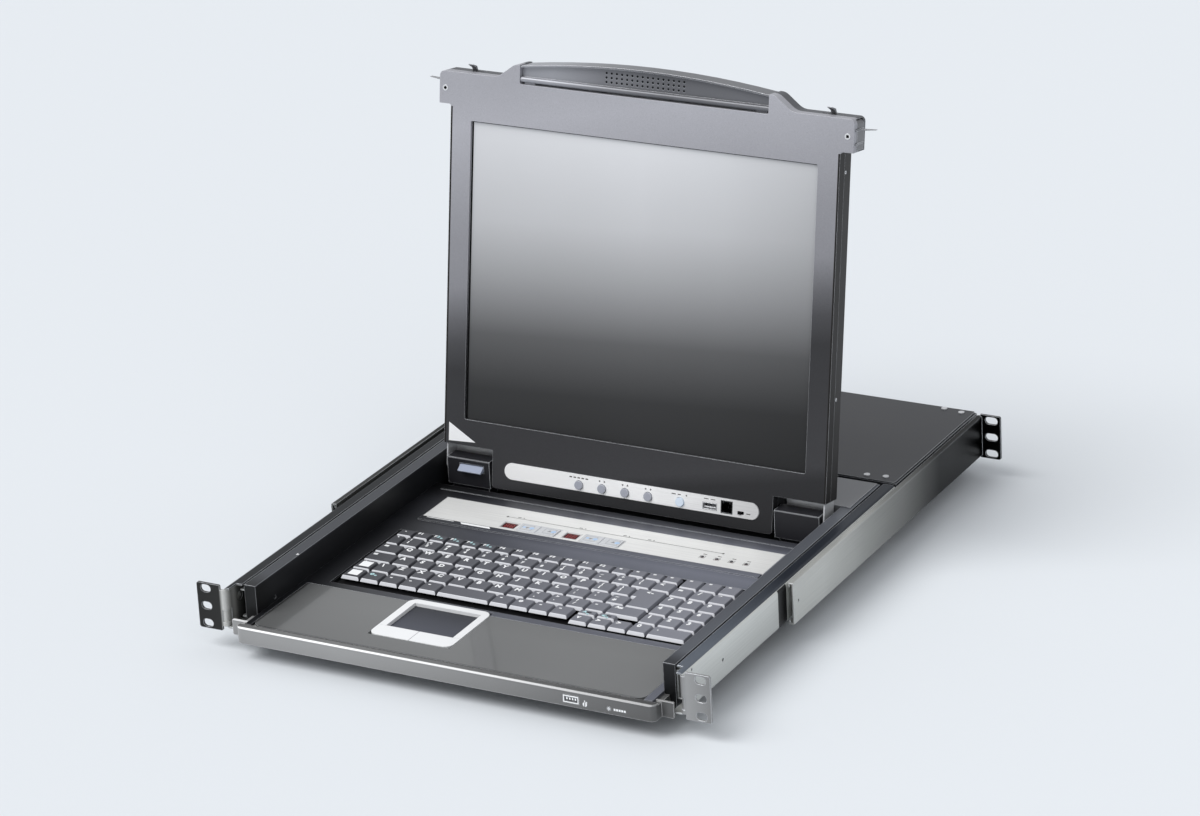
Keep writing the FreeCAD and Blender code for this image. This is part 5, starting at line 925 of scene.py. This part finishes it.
def recessShape(way, kind):
    # a cross, black as painted shade of the recess, that stands a hair above its screw head
    bm = bmesh.new()
    for a, b in (kind["cross"], kind["cross"][::-1]):
        addBlock(bm, axisSpot(way, -a / 2, -b / 2, -kind["stand"] - screws["crossProud"]),
                 axisSpot(way, a / 2, b / 2, -kind["stand"] + screws["crossDeep"]))
    return fromBmesh(bm)


ear, edge = screws["ear"], screws["side"]
earSpots = [(side * ear["across"], 0, ear["up"]) for side in (-1, 1)]
layOut("bezel_screws", earSpots, screwShape("y", ear), "screwSteel", "screen", True)
layOut("bezel_screw_recess", earSpots, recessShape("y", ear), "holeBlack", "screen", True,
       spin=(0, screws["spin"], 0))
for side, word in ((1, "right"), (-1, "left")):
    spots = [(side * edge["across"], edge["deep"], height) for height in edge["up"]]
    screw, recess = screwShape("x", edge), recessShape("x", edge)
    if side == 1:
        for mesh in (screw, recess):
            mesh.transform(Matrix.Rotation(math.pi, 4, "Z"))
    layOut("side_screws_" + word, spots, screw, "screwSteel", "screen", True)
    layOut("side_screw_recess_" + word, spots, recess, "holeBlack", "screen", True, spin=(screws["spin"], 0, 0))
print("screws laid")


# handle grip dots: dark discs as painted shade of the holes, each with a pale painted highlight below it

dots = {"count": 16, "rows": (368.8, 372.7, 376.6), "reach": 37.4, "level": 4.6, "round": 1.05, "sides": 12,
        "stand": 0.06, "glintRound": 1.05 * 1.12, "glintDrop": 0.4, "glintStand": 0.03}
dotSpots = [(-dots["reach"] + 2 * dots["reach"] * i / (dots["count"] - 1), dots["level"], row)
            for i in range(dots["count"]) for row in dots["rows"]]
rim = flatMesh([disc(0, -dots["glintDrop"], dots["glintRound"], dots["sides"])], "y", -dots["glintStand"])
dot = flatMesh([disc(0, 0, dots["round"], dots["sides"])], "y", -dots["stand"])
layOut("handle_dot_rims", dotSpots, rim, "inkMid", "screen", True)
layOut("handle_dots", dotSpots, dot, "holeBlack", "screen", True)
print("handle dotted")


# port strip: windows, digits, frames, printed line, lamps and rocker marks

strip = {"top": reach("control_strip")[1][2], "ink": 0.03, "windows": (-91.0, -29.7), "windowWide": 13.5,
         "windowFront": 248.7, "windowDeep": 11.0, "windowMargin": 1.0, "rockerMargin": 1.3, "frame": 0.5,
         "line": (-95.0, 116.0, 270.0), "lineWide": 0.6, "lineEnd": 1.1, "lineSigns": (-84.0, -23.0, 20.0, 44.0),
         "lineBar": (-1.6, 1.6, 1.6, 2.6), "lineDot": (4.2, 2.1, 0.6),
         "tags": ([(-160, 240.6), (-133, 240.6), (-133, 241.6), (-160, 241.6)],
                  [(-124, 238.6), (-95, 238.6), (-97.5, 241.8), (-126.5, 241.8)])}
stripInk = strip["top"] + strip["ink"]
digits = {"count": 2, "first": 2.2, "front": 2.0, "step": 5.1, "wide": 3.6, "bar": 0.6, "rise": 3.2, "inset": 0.5,
          "sunk": 0.57}
segments = []
y0, thick, rise = strip["windowFront"] + digits["front"], digits["bar"], digits["rise"]
for at in strip["windows"]:
    for digit in range(digits["count"]):
        x0 = at + digits["first"] + digit * digits["step"]
        x1 = x0 + digits["wide"]
        for k in range(3):
            segments.append(bar(x0 + digits["inset"], x1 - digits["inset"], y0 + rise * k, y0 + rise * k + thick))
        for k in range(2):
            for low, high in ((x0, x0 + thick), (x1 - thick, x1)):
                segments.append(bar(low, high, y0 + rise * k + thick, y0 + rise * (k + 1)))
flatPiece("window_digits", segments, "z", strip["top"] - digits["sunk"], "digitLit", "drawer")

rockers = [reach("port_rocker_%d" % i) for i in (1, 2)]
frames = []
for at in strip["windows"]:
    frames += ringBars(at - strip["windowMargin"], at + strip["windowWide"] + strip["windowMargin"],
                       strip["windowFront"] - strip["windowMargin"],
                       strip["windowFront"] + strip["windowDeep"] + strip["windowMargin"], strip["frame"])
for low, high in rockers:
    frames += ringBars(low[0] - strip["rockerMargin"], high[0] + strip["rockerMargin"],
                       low[1] - strip["rockerMargin"], high[1] + strip["rockerMargin"], strip["frame"])
flatPiece("strip_frames", frames, "z", stripInk, "inkPale", "drawer")

x0, x1, y0 = strip["line"]
line = [bar(x0, x1, y0 - strip["lineWide"] / 2, y0 + strip["lineWide"] / 2),
        disc(x0, y0, strip["lineEnd"]), disc(x1, y0, strip["lineEnd"])]
a0, a1, b0, b1 = strip["lineBar"]
shift, rise, radius = strip["lineDot"]
for at in strip["lineSigns"]:
    line += [bar(at + a0, at + a1, y0 + b0, y0 + b1), disc(at + shift, y0 + rise, radius)]
flatPiece("strip_line", line, "z", stripInk, "inkGrey", "drawer")

lamps = {"first": 102.2, "step": 13.9, "count": 4, "row": 257.5, "ring": 2.6, "ringWide": 0.35, "sign": 1.8,
         "signRow": (5.2, 6.2), "round": 1.3, "level": (0.4, 0.53), "sides": 14}
lampMarks = []
bm = bmesh.new()
for i in range(lamps["count"]):
    at, row = lamps["first"] + lamps["step"] * i, lamps["row"]
    lampMarks += ringBars(at - lamps["ring"], at + lamps["ring"], row - lamps["ring"], row + lamps["ring"],
                          lamps["ringWide"])
    signFront, signBack = [row + shift for shift in lamps["signRow"]]
    lampMarks.append(bar(at - lamps["sign"], at + lamps["sign"], signFront, signBack))
    low, high = [strip["top"] + level for level in lamps["level"]]
    addDisc(bm, (at, row), lamps["round"], "z", low, high, lamps["sides"])
flatPiece("strip_lamp_marks", lampMarks, "z", stripInk, "inkGrey", "drawer")
lampCaps = fromBmesh(bm)
dress(lampCaps, "lampPale")
settle("strip_lamp_caps", lampCaps, "drawer")

rockerSigns = {"arrow": 11, "arrowSize": 2.2, "frame": (5.5, 16.5, 4.6), "frameWide": 0.4, "spots": (-6.5, 15.0),
               "spot": 2.4, "bar": (-15.5, -12.5, -1.2, 1.6), "spotInk": 0.05}
near, far, tall = rockerSigns["frame"]
for i, (low, high) in enumerate(rockers):
    middle, row, body = (low[0] + high[0]) / 2, (low[1] + high[1]) / 2, "selector_%d" % (i + 1)
    marks = [arrow(middle - rockerSigns["arrow"], row, rockerSigns["arrowSize"], "down"),
             arrow(middle + rockerSigns["arrow"], row, rockerSigns["arrowSize"], "up")]
    for start, end in ((-far, -near), (near, far)):
        marks += ringBars(middle + start, middle + end, row - tall, row + tall, rockerSigns["frameWide"])
    flatPiece("rocker_marks_%d" % (i + 1), marks, "z", high[2] + strip["ink"], "inkMid", body)
    spots = [disc(middle + at, row, rockerSigns["spot"]) for at in rockerSigns["spots"]]
    a0, a1, b0, b1 = rockerSigns["bar"]
    spots.append(bar(middle + a0, middle + a1, row + b0, row + b1))
    flatPiece("rocker_spots_%d" % (i + 1), spots, "z", high[2] + rockerSigns["spotInk"], "spotBlue", body)
flatPiece("deck_tags", strip["tags"], "z", reach("deck_bezel")[1][2] + strip["ink"], "legendWhite", "drawer")
print("port strip marked")


# screen: painted shadow lines round the panel at the left, top and right, plate marks and sticker

opening = {"half": 167.45, "low": 53.0, "high": 321.3, "left": 1.7, "top": 1.0, "right": 0.6, "proud": 0.06}
half, low, high = opening["half"], opening["low"], opening["high"]
line = [bar(-half, -half + opening["left"], low, high),
        bar(-half + opening["left"], half, high - opening["top"], high),
        bar(half - opening["right"], half, low, high - opening["top"])]
flatPiece("panel_edge_lines", line, "y", reach("lcd_panel", True)[0][1] - opening["proud"], "holeBlack",
          "screen", True)

# ticks and such: first place, step, width, count
plate = {"ink": 0.03, "row": 16.9, "ticks": (-60.0, 4.0, 2.6, 5), "tickRow": (16.2, 17.3),
         "arrow": 1.2, "arrowStep": 4.8,
         "arrows": ((-27.6, ("left", "right")), (-4.8, ("down", "up")), (18.0, ("left", "right"))),
         "dot": (55.5, 16.8, 0.7),
         "words": ((41, 45, 16.4, 17.2), (47, 50, 16.4, 17.2), (72.5, 77, 16.8, 17.5), (79, 83.5, 16.8, 17.5),
                   (113.6, 117.6, 8.9, 9.7))}
first, step, wide, count = plate["ticks"]
marks = [bar(first + step * k, first + step * k + wide, *plate["tickRow"]) for k in range(count)]
for at, ways in plate["arrows"]:
    for shift, way in zip((-0.5, 0.5), ways):
        marks.append(arrow(at + shift * plate["arrowStep"], plate["row"], plate["arrow"], way))
marks += [bar(*word) for word in plate["words"]] + [disc(*plate["dot"])]
flatPiece("plate_marks", marks, "y", reach("osd_plate", True)[0][1] - plate["ink"], "inkGrey", "screen", True)

sticker = {"corners": [(-183.2, 48.5), (-183.2, 31.5), (-156.0, 33.0)], "proud": 0.04}
flatPiece("corner_sticker", [sticker["corners"]], "y", -sticker["proud"], "legendWhite", "screen", True)


# tray flange and front edge marks

flangeSign = {"spot": (-193.6, 84), "size": 1.8, "ink": 0.03}
flatPiece("flange_arrow", [arrow(*flangeSign["spot"], flangeSign["size"], "right")], "z",
          reach("tray")[1][2] + flangeSign["ink"], "legendWhite", "drawer")
edgeMarks = {"ink": 0.02, "sign": (134.0, -17.6, 2.0),
             "signBars": ((133.6, 134.4, -19.6, -13.9), (135.0, 136.2, -16.2, -15.0)),
             "bars": (160.2, 2.3, 1.7, 5), "barRow": (-18.1, -16.2)}
first, step, wide, count = edgeMarks["bars"]
marks = [disc(*edgeMarks["sign"])] + [bar(*one) for one in edgeMarks["signBars"]]
marks += [bar(first + step * k, first + step * k + wide, *edgeMarks["barRow"]) for k in range(count)]
flatPiece("edge_marks", marks, "y", reach("front_fascia")[0][1] - edgeMarks["ink"], "legendWhite", "drawer")
socket = {"ink": 0.01, "ring": (114.5, 128.5, -18.4, -12.0), "rim": 0.9, "contacts": (117.3, 2.6, 1.4, 4),
          "contactRow": (-15.6, -13.8)}
first, step, wide, count = socket["contacts"]
marks = ringBars(*socket["ring"], socket["rim"])
marks += [bar(first + step * k, first + step * k + wide, *socket["contactRow"]) for k in range(count)]
flatPiece("socket_marks", marks, "y", reach("front_ports")[0][1] - socket["ink"], "legendWhite", "drawer")
print("marks set")
